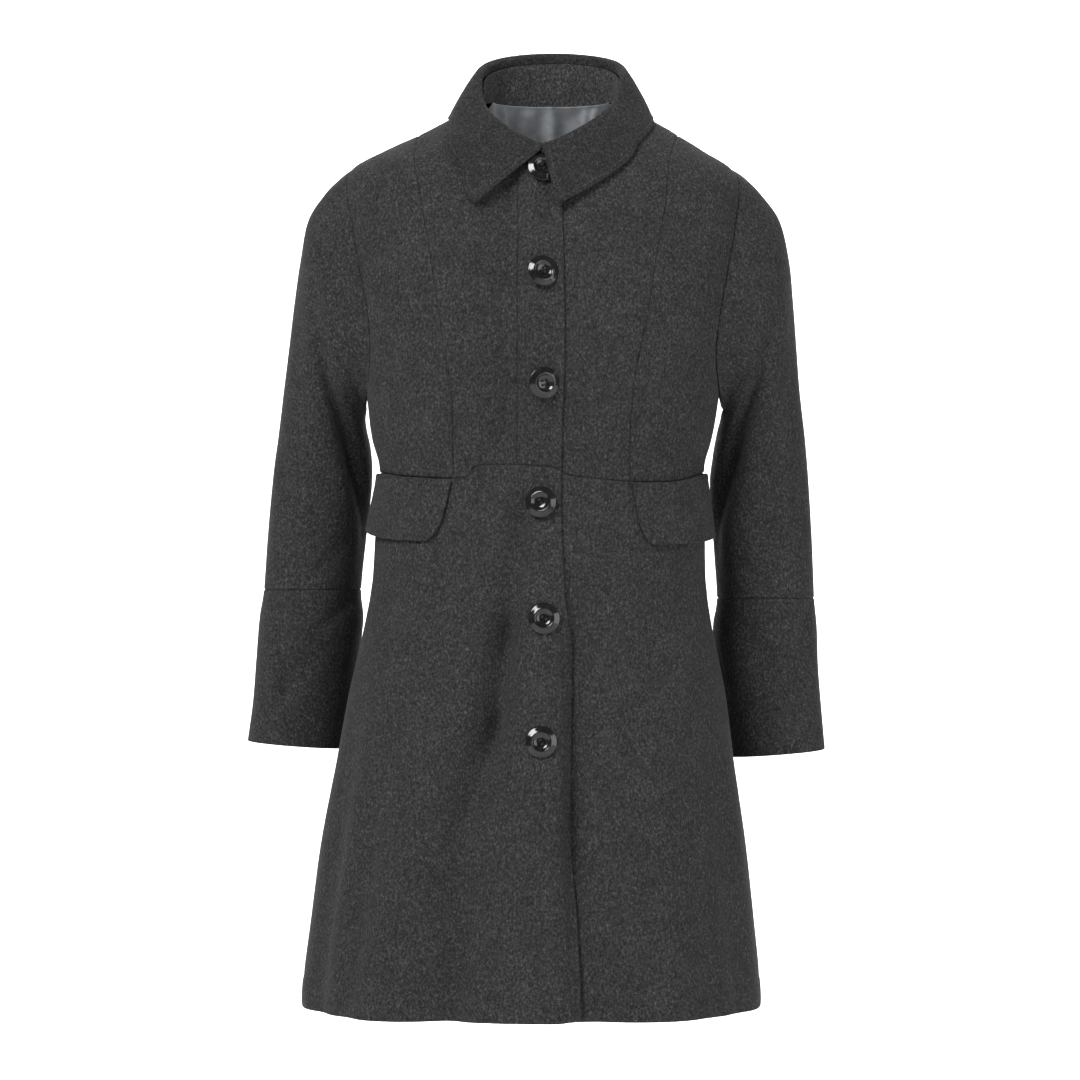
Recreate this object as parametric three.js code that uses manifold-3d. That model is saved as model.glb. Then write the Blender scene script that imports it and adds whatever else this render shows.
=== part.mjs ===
// Charcoal wool coat for a woman, filled out with no wearer.
// Millimetres, +Z up, the front faces -Y and the wearer's left is +X.
// The origin is the middle of the neck, level with the shoulders that hold the coat up.
import * as THREE from 'three';
import { mergeVertices } from 'three/addons/utils/BufferGeometryUtils.js';
import Module from 'manifold-3d';

// Driving dimensions
const WALL = 2.5;               // melton cloth
const LINING_WALL = 1;
const SEAM_PULL = 0.2;          // each piece stops this far short of its seam line
const WAIST_Z = -364;
const SIDE_WAIST_Z = -360;
const WAIST_GAP = 0.6;          // between bodice and skirt, beside the pull
const UNDERARM_Z = -285;
const HEM_Z = -915;
const SIDE_ANGLE = 90;          // degrees round from the centre front
const BAND_SEAM_X = -28;        // left edge of the buttonhole band
const UNDER_EDGE_X = -23;       // hidden edge of the front that laps under
const LAP_LIFT = WALL + 0.8;
const LAP_START_X = -62;
const LAP_FULL_X = -34;
const HEM_LAP_LIFT = 4;         // the lapped edge stands this much prouder at the hem
const HEM_CORNER_RISE = 3;      // the lapped corner's hem is this much higher
const BUTTON_DIAMETER = 32;
const RIGHT = -1;
const LEFT = 1;

// Level sections of body and skirt, from the neck down.
// halfWidth, front and back are distances from the section's middle; power squares it off.
const SECTIONS = [
  { z: 40, halfWidth: 52, front: 6, back: 44, power: 2, centre: 8.5 },
  { z: 28, halfWidth: 74, front: 19, back: 56, power: 2, centre: 8.5 },
  { z: 10, halfWidth: 107, front: 42, back: 66, power: 2, centre: 8 },
  { z: -6, halfWidth: 136, front: 56, back: 73, power: 2.05, centre: 6 },
  { z: -23, halfWidth: 168, front: 66, back: 79, power: 2.1, centre: 1 },
  { z: -40, halfWidth: 197, front: 74, back: 84, power: 2.25, centre: -1 },
  { z: -60, halfWidth: 210, front: 83, back: 89, power: 2.45, centre: 0 },
  { z: -95, halfWidth: 212, front: 96, back: 95, power: 2.6, centre: 1 },
  { z: -150, halfWidth: 205, front: 112, back: 101, power: 2.7, centre: 1 },
  { z: -200, halfWidth: 196, front: 121, back: 103, power: 2.65, centre: 1 },
  { z: -240, halfWidth: 189, front: 124, back: 102, power: 2.6, centre: 0 },
  { z: -285, halfWidth: 184, front: 121, back: 99, power: 2.5, centre: 0 },
  { z: -325, halfWidth: 178, front: 114, back: 95, power: 2.45, centre: -1 },
  { z: -350, halfWidth: 171, front: 109, back: 92, power: 2.4, centre: -1 },
  { z: -372, halfWidth: 170, front: 108, back: 93, power: 2.4, centre: -1 },
  { z: -430, halfWidth: 173, front: 117, back: 104, power: 2.4, centre: -3 },
  { z: -475, halfWidth: 175, front: 122, back: 111, power: 2.4, centre: -4 },
  { z: -520, halfWidth: 182, front: 128, back: 117, power: 2.45, centre: -5 },
  { z: -590, halfWidth: 197, front: 137, back: 125, power: 2.5, centre: -6 },
  { z: -661, halfWidth: 208, front: 145, back: 132, power: 2.55, centre: -8 },
  { z: -745, halfWidth: 222, front: 153, back: 140, power: 2.6, centre: -10 },
  { z: -829, halfWidth: 232, front: 160, back: 147, power: 2.7, centre: -11 },
  { z: -892, halfWidth: 239, front: 165, back: 152, power: 2.7, centre: -12 },
  { z: -930, halfWidth: 240, front: 167, back: 153, power: 2.7, centre: -12 },
];

// Broad folds of the skirt and back. Angles in degrees, plus to the wearer's left.
const FOLDS = [
  { topAngle: -6, hemAngle: -21, topZ: -395, spread: 6, depth: -9 },
  { topAngle: -20, hemAngle: -37, topZ: -430, spread: 9, depth: 5 },
  { topAngle: 10, hemAngle: 16, topZ: -470, spread: 5, depth: -9 },
  { topAngle: 27, hemAngle: 33, topZ: -430, spread: 9, depth: 5 },
  { topAngle: 56, hemAngle: 57, topZ: -560, spread: 7, depth: -4 },
  { topAngle: -62, hemAngle: -60, topZ: -560, spread: 7, depth: -4 },
  { topAngle: 118, hemAngle: 122, topZ: -420, spread: 7, depth: -7 },
  { topAngle: 138, hemAngle: 141, topZ: -440, spread: 7, depth: 6 },
  { topAngle: 160, hemAngle: 161, topZ: -400, spread: 6, depth: -8 },
  { topAngle: -176, hemAngle: -178, topZ: -430, spread: 6, depth: 6 },
  { topAngle: -157, hemAngle: -158, topZ: -400, spread: 6, depth: -7 },
  { topAngle: -134, hemAngle: -138, topZ: -450, spread: 7, depth: 6 },
  { topAngle: -116, hemAngle: -120, topZ: -430, spread: 7, depth: -7 },
];

// Neck seam by turns of a quarter: 0 is the centre front, 1 the shoulder, 2 the centre back.
const NECK_SEAM = [
  { turn: 0, angle: 0, z: -38 },
  { turn: 0.3, angle: 9, z: -34 },
  { turn: 0.6, angle: 24, z: -15 },
  { turn: 0.8, angle: 43, z: 9 },
  { turn: 1, angle: 90, z: 27 },
  { turn: 1.3, angle: 122, z: 28 },
  { turn: 1.6, angle: 150, z: 28 },
  { turn: 2, angle: 180, z: 28 },
];

// Armhole from the underarm, rise 0, to the tip of the shoulder, rise 1.
const ARMHOLE = [
  { rise: 0, z: -285, front: 90, back: 90 },
  { rise: 0.1, z: -274, front: 75, back: 104 },
  { rise: 0.25, z: -240, front: 64, back: 116 },
  { rise: 0.45, z: -190, front: 60, back: 120 },
  { rise: 0.65, z: -135, front: 61, back: 119 },
  { rise: 0.82, z: -85, front: 65, back: 115 },
  { rise: 0.93, z: -54, front: 75, back: 105 },
  { rise: 1, z: -41, front: 90, back: 90 },
];

// Long front seam: distance from the middle at each height.
const FRONT_SEAM = [
  { z: -6, x: 136 },
  { z: -45, x: 131 },
  { z: -88, x: 125 },
  { z: -141, x: 116 },
  { z: -196, x: 107 },
  { z: -250, x: 97 },
  { z: -292, x: 91 },
  { z: -370, x: 90 },
];

// Waist seam along the front; the over front's seam steps up beside its button band.
const STEP_XS = [-76, -71];
const WAIST_SEAM = [
  { x: -170, z: -360 },
  { x: -140, z: -365 },
  { x: STEP_XS[0], z: -366 },
  { x: STEP_XS[1], z: -355 },
  { x: 8, z: -356 },
  { x: 26, z: -364 },
  { x: 60, z: -368 },
  { x: 100, z: -371 },
  { x: 140, z: -369 },
  { x: 168, z: -360 },
];

// Edge of the front that laps over, from the neck to the hem.
const OVER_EDGE = [
  { z: -20, x: 16 },
  { z: -85, x: 19 },
  { z: -220, x: 21.5 },
  { z: -390, x: 18 },
  { z: -495, x: 23 },
  { z: -535, x: 31 },
  { z: -700, x: 32 },
  { z: -860, x: 39 },
  { z: -930, x: 40 },
];

// Sleeve rings from the armhole down. Each is slung between an inner and an outer point.
const SLEEVE_RINGS = [
  { at: 0, inX: 184, inY: 2, inZ: -285, outX: 199, outY: -4, outZ: -41, halfDepth: 60, lean: -1 },
  { at: 1, inX: 185, inY: 6, inZ: -287, outX: 210, outY: 0, outZ: -48, halfDepth: 62, lean: 0 },
  { at: 2, inX: 186, inY: 10, inZ: -289, outX: 227, outY: 4, outZ: -65, halfDepth: 63, lean: 0 },
  { at: 3, inX: 187, inY: 15, inZ: -291, outX: 247, outY: 8, outZ: -94, halfDepth: 64, lean: 1 },
  { at: 4, inX: 188, inY: 21, inZ: -293, outX: 257, outY: 12, outZ: -136, halfDepth: 65, lean: 2 },
  { at: 5, inX: 188, inY: 28, inZ: -297, outX: 263, outY: 18, outZ: -182, halfDepth: 65, lean: 1 },
  { at: 6, inX: 188, inY: 36, inZ: -303, outX: 268, outY: 25, outZ: -228, halfDepth: 64, lean: 0 },
  { at: 7, inX: 186, inY: 45, inZ: -314, outX: 273, outY: 32, outZ: -272, halfDepth: 63, lean: -1 },
  { at: 8, inX: 182, inY: 55, inZ: -336, outX: 279, outY: 38, outZ: -318, halfDepth: 61, lean: -1 },
  { at: 9, inX: 180, inY: 61, inZ: -368, outX: 284, outY: 43, outZ: -360, halfDepth: 59, lean: -2 },
  { at: 10, inX: 185, inY: 63, inZ: -424, outX: 289, outY: 48, outZ: -420, halfDepth: 56, lean: -3 },
  { at: 11, inX: 190, inY: 65, inZ: -483, outX: 293, outY: 52, outZ: -483, halfDepth: 54, lean: -4 },
  { at: 12, inX: 187, inY: 70, inZ: -516, outX: 297, outY: 56, outZ: -514, halfDepth: 53, lean: -5 },
  { at: 13, inX: 192, inY: 76, inZ: -562, outX: 300, outY: 62, outZ: -558, halfDepth: 51, lean: -6 },
  { at: 14, inX: 198, inY: 82, inZ: -608, outX: 304, outY: 68, outZ: -603, halfDepth: 50, lean: -6 },
  { at: 15, inX: 203, inY: 86, inZ: -654, outX: 309, outY: 72, outZ: -645, halfDepth: 50, lean: -7 },
];
const ELBOW_RING = 11;
const LAST_RING = 15;
const ARMHOLE_FADE_RINGS = 4;      // the rings take this many to leave the armhole's own line
const ARMHOLE_GAP = 0.5;           // beside the pull
const UNDERARM_GAP = 3;            // where the sleeve folds back on the side seam
const UNDERARM_GAP_SPREAD = 0.3;   // share of the round over which that gap fades
const LEFT_SLEEVE_DROP = 9;        // the wearer's left elbow and cuff hang lower

// Deep crease from the front of the armhole down to the sleeve's inner side.
const SLEEVE_CREASE = [
  { at: 3.6, round: 0.2, depth: 0 },
  { at: 4.6, round: 0.22, depth: 3 },
  { at: 6, round: 0.275, depth: 9 },
  { at: 7, round: 0.325, depth: 13 },
  { at: 8.4, round: 0.367, depth: 13 },
  { at: 9.2, round: 0.4, depth: 9 },
  { at: 10, round: 0.45, depth: 3 },
  { at: 11, round: 0.42, depth: 0 },
  { at: 15, round: 0.29, depth: 0 },
];
const CREASE_HALF_WIDTH = 0.035;   // as a share of the way round

// Top of the collar's roll. The share goes from the wearer's right front, 0, round the
// back, 0.5, to the left front, 1.
const ROLL = { halfWidth: 77, front: 72, back: 60, frontZ: -22, rise: 104, centre: 8.5, easing: 0.65 };
const ROLL_RADIUS = 5;
const ROLL_SEAM_DROP = 12;         // inside, below the roll, at the back
const ROLL_SEAM_FRONT_DROP = 7;
const ROLL_END_SHARE = 0.004;
const COLLAR_PROUD = 5.2;
const STAND_INSET = 4.9;           // the stand's foot lies just inside the bodice wall
const STAND_GAP = 0.5;
const COLLAR_END_SHARE = 0.06;     // each front end that passes over the top button
const COLLAR_END_RISE = 3.5;
const COLLAR_LAP_SHARE = 0.2;      // each end that passes over the lapped fronts
const FALL_SPRING = 4;             // how far the fall bows out on its way down
// Lower edge of the collar, by angle round the coat.
const COLLAR_EDGE = [
  { share: 0, angle: -17, z: -87 },
  { share: 0.06, angle: -21.5, z: -72 },
  { share: 0.12, angle: -25.5, z: -44 },
  { share: 0.18, angle: -40, z: -12 },
  { share: 0.25, angle: -67, z: 8 },
  { share: 0.31, angle: -92, z: 12 },
  { share: 0.4, angle: -135, z: 9 },
  { share: 0.5, angle: -180, z: 8 },
  { share: 0.6, angle: -225, z: 9 },
  { share: 0.69, angle: -268, z: 12 },
  { share: 0.75, angle: -290, z: 8 },
  { share: 0.82, angle: -317, z: -12 },
  { share: 0.88, angle: -331, z: -37 },
  { share: 0.94, angle: -343, z: -63 },
  { share: 1, angle: -353, z: -89 },
];

// Half-moon of lining behind the neck, with a pleat down its middle.
const LINING = {
  inset: 5.4, turn: 1.1, topDrop: 1.2, footZ: -120, footHalfWidth: 100,
  pleatX: 10, pleatSpread: 6, pleatDepth: 3,
};

// Flaps that hang from the waist seam. Angles in degrees from the centre front.
const FLAPS = [
  { name: 'pocket_flap_right', side: RIGHT, innerTop: 31, footZ: -432, footRise: 11 },
  { name: 'pocket_flap_left', side: LEFT, innerTop: 31, footZ: -436, footRise: 9 },
];
const FLAP_OUTER = 92;
const FLAP_TOP_DROP = 1;
const FLAP_GAP = 1.3;
const FLAP_SLANT = 3.5;
const FLAP_CORNER = 4.5;
const FLAP_STAND = 8;              // how far the outer lower corner stands off the hip

const BUTTON_GAP = 0.3;
const BUTTON = { radius: BUTTON_DIAMETER / 2, thickness: 4.2, holeRadius: 1.25, holeSpread: 3.1 };
const BUTTONS = [
  { z: -48, x: 0, turn: 20, seat: 0 },
  { z: -157, x: 0, turn: 48, seat: 0 },
  { z: -271, x: 1, turn: 10, seat: 0 },
  { z: -392, x: -2, turn: 35, seat: 1.2 },
  { z: -510, x: 1, turn: 62, seat: 0 },
  { z: -634, x: -2, turn: 27, seat: 0 },
];

// Small helpers
const degrees = Math.PI / 180;
const mix = (a, b, t) => a + (b - a) * t;
const clamp01 = (t) => Math.min(1, Math.max(0, t));
const evenShares = (count) => Array.from({ length: count + 1 }, (_, i) => i / count);

function ease(t) {
  const s = clamp01(t);
  return s * s * (3 - 2 * s);
}

// Smooth value of a table's column, between rows sorted on another column.
function read(rows, on, column, value) {
  const rising = rows[rows.length - 1][on] > rows[0][on];
  const sign = rising ? 1 : -1;
  let i = 0;
  while (i < rows.length - 2 && sign * value > sign * rows[i + 1][on]) {
    i += 1;
  }
  const slope = (j) => {
    const before = rows[Math.max(0, j - 1)];
    const after = rows[Math.min(rows.length - 1, j + 1)];
    return (after[column] - before[column]) / (after[on] - before[on]);
  };
  const a = rows[i];
  const b = rows[i + 1];
  const span = b[on] - a[on];
  const t = clamp01((value - a[on]) / span);
  const t2 = t * t;
  const t3 = t2 * t;
  return (2 * t3 - 3 * t2 + 1) * a[column] + (t3 - 2 * t2 + t) * span * slope(i)
    + (3 * t2 - 2 * t3) * b[column] + (t3 - t2) * span * slope(i + 1);
}

function section(z) {
  const value = (column) => read(SECTIONS, 'z', column, z);
  return {
    halfWidth: value('halfWidth'), front: value('front'), back: value('back'),
    power: value('power'), centre: value('centre'),
  };
}

function foldDepth(angleDegrees, z) {
  let depth = 0;
  for (const fold of FOLDS) {
    const down = clamp01((fold.topZ - z) / (fold.topZ - HEM_Z));
    const middle = mix(fold.topAngle, fold.hemAngle, down);
    let off = angleDegrees - middle;
    off -= 360 * Math.round(off / 360);
    depth += fold.depth * ease(down * 1.8) * Math.exp(-((off / fold.spread) ** 2));
  }
  return depth;
}

// Point on the coat's outer face at an angle in degrees from the centre front.
function skin(angle, z, lift = 0) {
  const at = section(z);
  const s = Math.sin(angle * degrees);
  const c = Math.cos(angle * degrees);
  const round = (Math.abs(s) ** at.power + Math.abs(c) ** at.power) ** (-1 / at.power);
  const x = at.halfWidth * round * s;
  const y = -(c > 0 ? at.front : at.back) * round * c;
  const reach = Math.hypot(x, y);
  const grow = 1 + (foldDepth(angle, z) + lift) / reach;
  return new THREE.Vector3(at.centre + x * grow, y * grow, z);
}

// Direction into the coat at a point of its outer face.
function skinInward(angle, z) {
  const across = skin(angle + 0.2, z).sub(skin(angle - 0.2, z));
  const down = skin(angle, z - 0.5).sub(skin(angle, z + 0.5));
  return across.cross(down).normalize();
}

// Angle whose point on the front lies at x.
function angleAt(x, z) {
  const at = section(z);
  const across = Math.min(1, Math.abs(x - at.centre) / at.halfWidth);
  const forward = (1 - across ** at.power) ** (1 / at.power);
  return Math.sign(x - at.centre) * Math.atan2(across, forward) / degrees;
}

const overLift = (x) => LAP_LIFT * ease((x - LAP_START_X) / (LAP_FULL_X - LAP_START_X));

// Closed wall of cloth from its outer face. shape(u, v) gives a point; the wall grows inwards.
function wallGeometry(shape, across, down, { closed = false, inwards = 1, wall = WALL } = {}) {
  const us = Array.isArray(across) ? across : evenShares(across);
  const vs = Array.isArray(down) ? down : evenShares(down);
  const columns = closed ? us.length - 1 : us.length;
  const rows = vs.length;
  const step = 1e-3;
  const outer = [];
  const inner = [];
  const facing = (u, v) => {
    if (shape.inward) {
      return shape.inward(u, v);
    }
    const u0 = closed ? u - step : Math.max(0, u - step);
    const u1 = closed ? u + step : Math.min(1, u + step);
    const v0 = Math.max(0, v - step);
    const v1 = Math.min(1, v + step);
    const along = shape(u1, v).sub(shape(u0, v));
    const downwards = shape(u, v1).sub(shape(u, v0));
    return along.cross(downwards).normalize().multiplyScalar(inwards);
  };
  const place = (i, j) => shape(us[i], vs[j]);
  const normals = [];
  for (let j = 0; j < rows; j += 1) {
    for (let i = 0; i < columns; i += 1) {
      outer.push(place(i, j));
      normals.push(facing(us[i], vs[j]));
    }
  }
  const index = (i, j) => j * columns + (closed ? (i + columns) % columns : i);
  const pulled = outer.map((p) => p.clone());
  const pull = (from, to) => {
    const d = outer[to].clone().sub(outer[from]).normalize().multiplyScalar(SEAM_PULL);
    pulled[from].add(d);
  };
  for (let j = 0; j < rows && !closed; j += 1) {
    pull(index(0, j), index(1, j));
    pull(index(columns - 1, j), index(columns - 2, j));
  }
  for (let i = 0; i < columns; i += 1) {
    pull(index(i, 0), index(i, 1));
    pull(index(i, rows - 1), index(i, rows - 2));
  }
  pulled.forEach((p, k) => inner.push(p.clone().addScaledVector(normals[k], wall)));

  const positions = [...pulled, ...inner].flatMap((p) => [p.x, p.y, p.z]);
  const offset = pulled.length;
  const faces = [];
  const quad = (a, b, c, d) => faces.push(inwards > 0 ? [a, c, b, a, d, c] : [a, b, c, a, c, d]);
  const cells = closed ? columns : columns - 1;
  for (let j = 0; j < rows - 1; j += 1) {
    for (let i = 0; i < cells; i += 1) {
      const corners = [index(i, j), index(i + 1, j), index(i + 1, j + 1), index(i, j + 1)];
      quad(...corners);
      const [a, b, c, d] = corners.map((k) => k + offset);
      quad(d, c, b, a);
    }
  }
  const rim = (a, b) => quad(b, a, a + offset, b + offset);
  for (let i = 0; i < cells; i += 1) {
    rim(index(i, 0), index(i + 1, 0));
    rim(index(i + 1, rows - 1), index(i, rows - 1));
  }
  for (let j = 0; j < rows - 1 && !closed; j += 1) {
    rim(index(0, j + 1), index(0, j));
    rim(index(columns - 1, j), index(columns - 1, j + 1));
  }
  const geometry = new THREE.BufferGeometry();
  geometry.setAttribute('position', new THREE.Float32BufferAttribute(positions, 3));
  geometry.setIndex(faces.flat());
  return geometry;
}

// Patch between four edges, each giving a pair of numbers along itself.
function patch(foot, top, start, end) {
  return (u, v) => [0, 1].map((k) => {
    const ruledDown = mix(top(u)[k], foot(u)[k], v);
    const ruledAcross = mix(start(v)[k], end(v)[k], u);
    const corners = mix(mix(top(0)[k], top(1)[k], u), mix(foot(0)[k], foot(1)[k], u), v);
    return ruledDown + ruledAcross - corners;
  });
}

const cloth = new THREE.Color(0x3c3b3d);
const coat = new THREE.Group();

function addPiece(name, geometry, color = cloth, roughness = 0.95) {
  const material = new THREE.MeshStandardMaterial({ color, roughness, metalness: 0 });
  const mesh = new THREE.Mesh(geometry, material);
  mesh.name = name;
  coat.add(mesh);
  return mesh;
}

// Bodice. Rows run from the top edge, 0, to the waist seam, 1, closer together at the top.
const UNDERARM_SHARE = 0.75;
const ROWS_ABOVE_UNDERARM = 12;
const ROW_EASING = 1.35;
const easedShares = evenShares(ROWS_ABOVE_UNDERARM).map((share) => share ** ROW_EASING);
const bodiceRows = [
  ...easedShares.slice(0, -1).map((share) => UNDERARM_SHARE * share),
  UNDERARM_SHARE, mix(UNDERARM_SHARE, 1, 0.5), 1,
];

const waistSeam = (x) => read(WAIST_SEAM, 'x', 'z', x);
const onFront = ([x, z]) => [angleAt(x, z), z];
const onBack = ([x, z]) => [180 - angleAt(x, z), z];

// Outer edge of a bodice piece in [angle, z]: the armhole, then the side seam.
function outerEdge(column, footZ) {
  return (v) => {
    if (v >= UNDERARM_SHARE) {
      return [SIDE_ANGLE, mix(UNDERARM_Z, footZ, (v - UNDERARM_SHARE) / (1 - UNDERARM_SHARE))];
    }
    const rise = 1 - v / UNDERARM_SHARE;
    return [read(ARMHOLE, 'rise', column, rise), read(ARMHOLE, 'rise', 'z', rise)];
  };
}

// Long front seam in [x, z].
function frontSeam(side) {
  const footZ = waistSeam(side * FRONT_SEAM[FRONT_SEAM.length - 1].x);
  return (v) => {
    const z = mix(FRONT_SEAM[0].z, footZ, v);
    return [section(z).centre + side * read(FRONT_SEAM, 'z', 'x', z), z];
  };
}

// Neck seam in [x, z]; turns are minus on the wearer's right.
function neckSeam(turn) {
  const z = read(NECK_SEAM, 'turn', 'z', Math.abs(turn));
  const angle = Math.sign(turn) * read(NECK_SEAM, 'turn', 'angle', Math.abs(turn));
  return [skin(angle, z).x, z];
}

function neckTurnAt(x) {
  let low = -1;
  let high = 1;
  for (let i = 0; i < 40; i += 1) {
    const middle = (low + high) / 2;
    if (neckSeam(middle)[0] < x) {
      low = middle;
    } else {
      high = middle;
    }
  }
  return low;
}

// Straight up-and-down edge in [x, z] from the neck seam to the waist.
function neckEdge(xAt) {
  const turn = neckTurnAt(xAt(NECK_SEAM[0].z));
  const topZ = neckSeam(turn)[1];
  const footZ = waistSeam(xAt(WAIST_Z));
  return { turn, at: (v) => [xAt(mix(topZ, footZ, v)), mix(topZ, footZ, v)] };
}

const overEdgeX = (z) => read(OVER_EDGE, 'z', 'x', z);
const NECK_SHARE = 0.6;            // of a centre piece's top edge, the rest is shoulder

// Centre part of a front, from an edge near the middle to the long front seam.
function centrePatch(side, edge) {
  const seam = frontSeam(side);
  const shoulderX = neckSeam(side);
  const top = (u) => {
    if (u > NECK_SHARE) {
      const z = mix(shoulderX[1], FRONT_SEAM[0].z, (u - NECK_SHARE) / (1 - NECK_SHARE));
      return [section(z).centre + side * section(z).halfWidth, z];
    }
    return neckSeam(mix(edge.turn, side, u / NECK_SHARE));
  };
  const foot = (u) => {
    const x = mix(edge.at(1)[0], seam(1)[0], u);
    return [x, waistSeam(x)];
  };
  return patch(foot, top, edge.at, seam);
}

// Side part of a front in [angle, z], from the long front seam to the armhole and side seam.
function sidePatch(side) {
  const seam = frontSeam(side);
  const start = (v) => {
    const [angle, z] = onFront(seam(v));
    return [side * angle, z];
  };
  const end = outerEdge('front', SIDE_WAIST_Z);
  const top = (u) => [SIDE_ANGLE, mix(start(0)[1], end(0)[1], u)];
  const foot = (u) => {
    const angle = mix(start(1)[0], SIDE_ANGLE, u);
    return [angle, waistSeam(skin(side * angle, WAIST_Z).x)];
  };
  const map = patch(foot, top, start, end);
  return (u, v) => [side * map(u, v)[0], map(u, v)[1]];
}

function onSkin(map, lift = () => 0) {
  const shape = (u, v) => {
    const [angle, z] = map(u, v);
    return skin(angle, z, lift(skin(angle, z).x, z));
  };
  shape.inward = (u, v) => skinInward(...map(u, v));
  return shape;
}
const frontPiece = (map, lift) => onSkin((u, v) => onFront(map(u, v)), lift);

const bandEdge = neckEdge(() => BAND_SEAM_X);
const lapEdge = neckEdge(overEdgeX);
const underEdge = neckEdge(() => UNDER_EDGE_X);
const bandPatch = patch(
  (u) => {
    const x = mix(bandEdge.at(1)[0], lapEdge.at(1)[0], u);
    return [x, waistSeam(x)];
  },
  (u) => neckSeam(mix(bandEdge.turn, lapEdge.turn, u)),
  bandEdge.at,
  lapEdge.at,
);
const stepShares = STEP_XS.map((x) => (x - BAND_SEAM_X) / (frontSeam(RIGHT)(1)[0] - BAND_SEAM_X));
const rightColumns = [0, 0.2, 0.4, NECK_SHARE, stepShares[1], stepShares[0], 1];
const leftColumns = [0, 0.15, 0.3, 0.45, NECK_SHARE, 0.8, 1];

addPiece('front_band', wallGeometry(frontPiece(bandPatch, overLift), 3, bodiceRows));
addPiece('front_centre_right',
  wallGeometry(frontPiece(centrePatch(RIGHT, bandEdge), overLift), rightColumns, bodiceRows, { inwards: -1 }));
addPiece('front_side_right', wallGeometry(onSkin(sidePatch(RIGHT)), 5, bodiceRows, { inwards: -1 }));
addPiece('front_centre_left', wallGeometry(frontPiece(centrePatch(LEFT, underEdge)), leftColumns, bodiceRows));
addPiece('front_side_left', wallGeometry(onSkin(sidePatch(LEFT)), 5, bodiceRows));

// Back of the bodice in [x, z] seen from behind, from the wearer's left side to the right.
const SHOULDER_SHARE = 0.25;
function backPatch() {
  const edge = (side) => {
    const at = outerEdge('back', SIDE_WAIST_Z);
    return (v) => [skin(side * at(v)[0], at(v)[1]).x, at(v)[1]];
  };
  const top = (u) => {
    const side = u < 0.5 ? LEFT : RIGHT;
    const off = Math.min(u, 1 - u);
    if (off < SHOULDER_SHARE) {
      const z = mix(ARMHOLE[ARMHOLE.length - 1].z, NECK_SEAM[4].z, off / SHOULDER_SHARE);
      return [section(z).centre + side * section(z).halfWidth, z];
    }
    return neckSeam(side * mix(1, 2, (off - SHOULDER_SHARE) / (0.5 - SHOULDER_SHARE)));
  };
  const foot = (u) => [mix(edge(LEFT)(1)[0], edge(RIGHT)(1)[0], u), SIDE_WAIST_Z];
  return patch(foot, top, edge(LEFT), edge(RIGHT));
}
const BACK_COLUMNS = 18;
const backColumns = evenShares(BACK_COLUMNS).map((share) => (1 - Math.cos(Math.PI * share)) / 2);
const backMap = backPatch();
addPiece('back_bodice', wallGeometry(onSkin((u, v) => onBack(backMap(u, v))), backColumns, bodiceRows));

// Skirt, in [angle, z] with rows from the waist seam to the hem.
function skirtPiece(startAngle, endAngle, topZ, hemZ, lift) {
  return onSkin((u, v) => {
    const topAngle = mix(startAngle(WAIST_Z), endAngle(WAIST_Z), u);
    const from = topZ(skin(topAngle, WAIST_Z).x) - WAIST_GAP;
    const z = mix(from, hemZ(skin(topAngle, WAIST_Z).x), v);
    return [mix(startAngle(z), endAngle(z), u), z];
  }, lift);
}
const overEdgeAngle = (z) => angleAt(overEdgeX(z), z);
const underEdgeAngle = (z) => angleAt(UNDER_EDGE_X, z);
const skirtLift = (x, z) => {
  const down = clamp01((WAIST_Z - z) / (WAIST_Z - HEM_Z));
  return overLift(x) + HEM_LAP_LIFT * down * ease((x + 50) / 60);
};
const overHem = (x) => HEM_Z + HEM_CORNER_RISE * ease(x / 20);
const skirtRows = [0, 0.05, 0.11, 0.18, 0.27, 0.37, 0.48, 0.6, 0.73, 0.86, 1];
const overSpan = overEdgeAngle(WAIST_Z) + SIDE_ANGLE;
const skirtStepShares = STEP_XS.map((x) => (angleAt(x, WAIST_Z) + SIDE_ANGLE) / overSpan);
const overColumns = [0, 0.11, 0.22, 0.33, 0.44, 0.55, ...skirtStepShares, 0.75, 0.82, 0.88, 0.94, 1];
const overSkirt = skirtPiece(() => -SIDE_ANGLE, overEdgeAngle, waistSeam, overHem, skirtLift);
addPiece('front_skirt_right', wallGeometry(overSkirt, overColumns, skirtRows));
const underSkirt = skirtPiece(underEdgeAngle, () => SIDE_ANGLE, waistSeam, () => HEM_Z);
addPiece('front_skirt_left', wallGeometry(underSkirt, 13, skirtRows));
const backSkirt = skirtPiece(() => SIDE_ANGLE, () => 360 - SIDE_ANGLE, () => SIDE_WAIST_Z, () => HEM_Z);
addPiece('back_skirt', wallGeometry(backSkirt, 26, skirtRows));

// Sleeves. The round goes from the outer side, 0, by the front, 0.25, to the inner side, 0.5,
// and back behind. The ring number grows down the arm.
const CREASE_COLUMN = 0.5 * (8 / ROWS_ABOVE_UNDERARM) ** ROW_EASING;
const SLEEVE_POWER = 2.15;

function sleeveRing(round, at) {
  const ring = (column) => read(SLEEVE_RINGS, 'at', column, at);
  const c = Math.cos(2 * Math.PI * round);
  const s = Math.sin(2 * Math.PI * round);
  const swell = (Math.abs(c) ** SLEEVE_POWER + Math.abs(s) ** SLEEVE_POWER) ** (-1 / SLEEVE_POWER);
  const t = (1 - c * swell) / 2;
  return new THREE.Vector3(
    mix(ring('outX'), ring('inX'), t),
    mix(ring('outY'), ring('inY'), t) - ring('halfDepth') * swell * s,
    mix(ring('outZ'), ring('inZ'), t),
  );
}

function armholePoint(side, round) {
  const front = round <= 0.5;
  const rise = 1 - 2 * (front ? round : 1 - round);
  const angle = read(ARMHOLE, 'rise', front ? 'front' : 'back', rise);
  return skin(side * angle, read(ARMHOLE, 'rise', 'z', rise));
}

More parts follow.
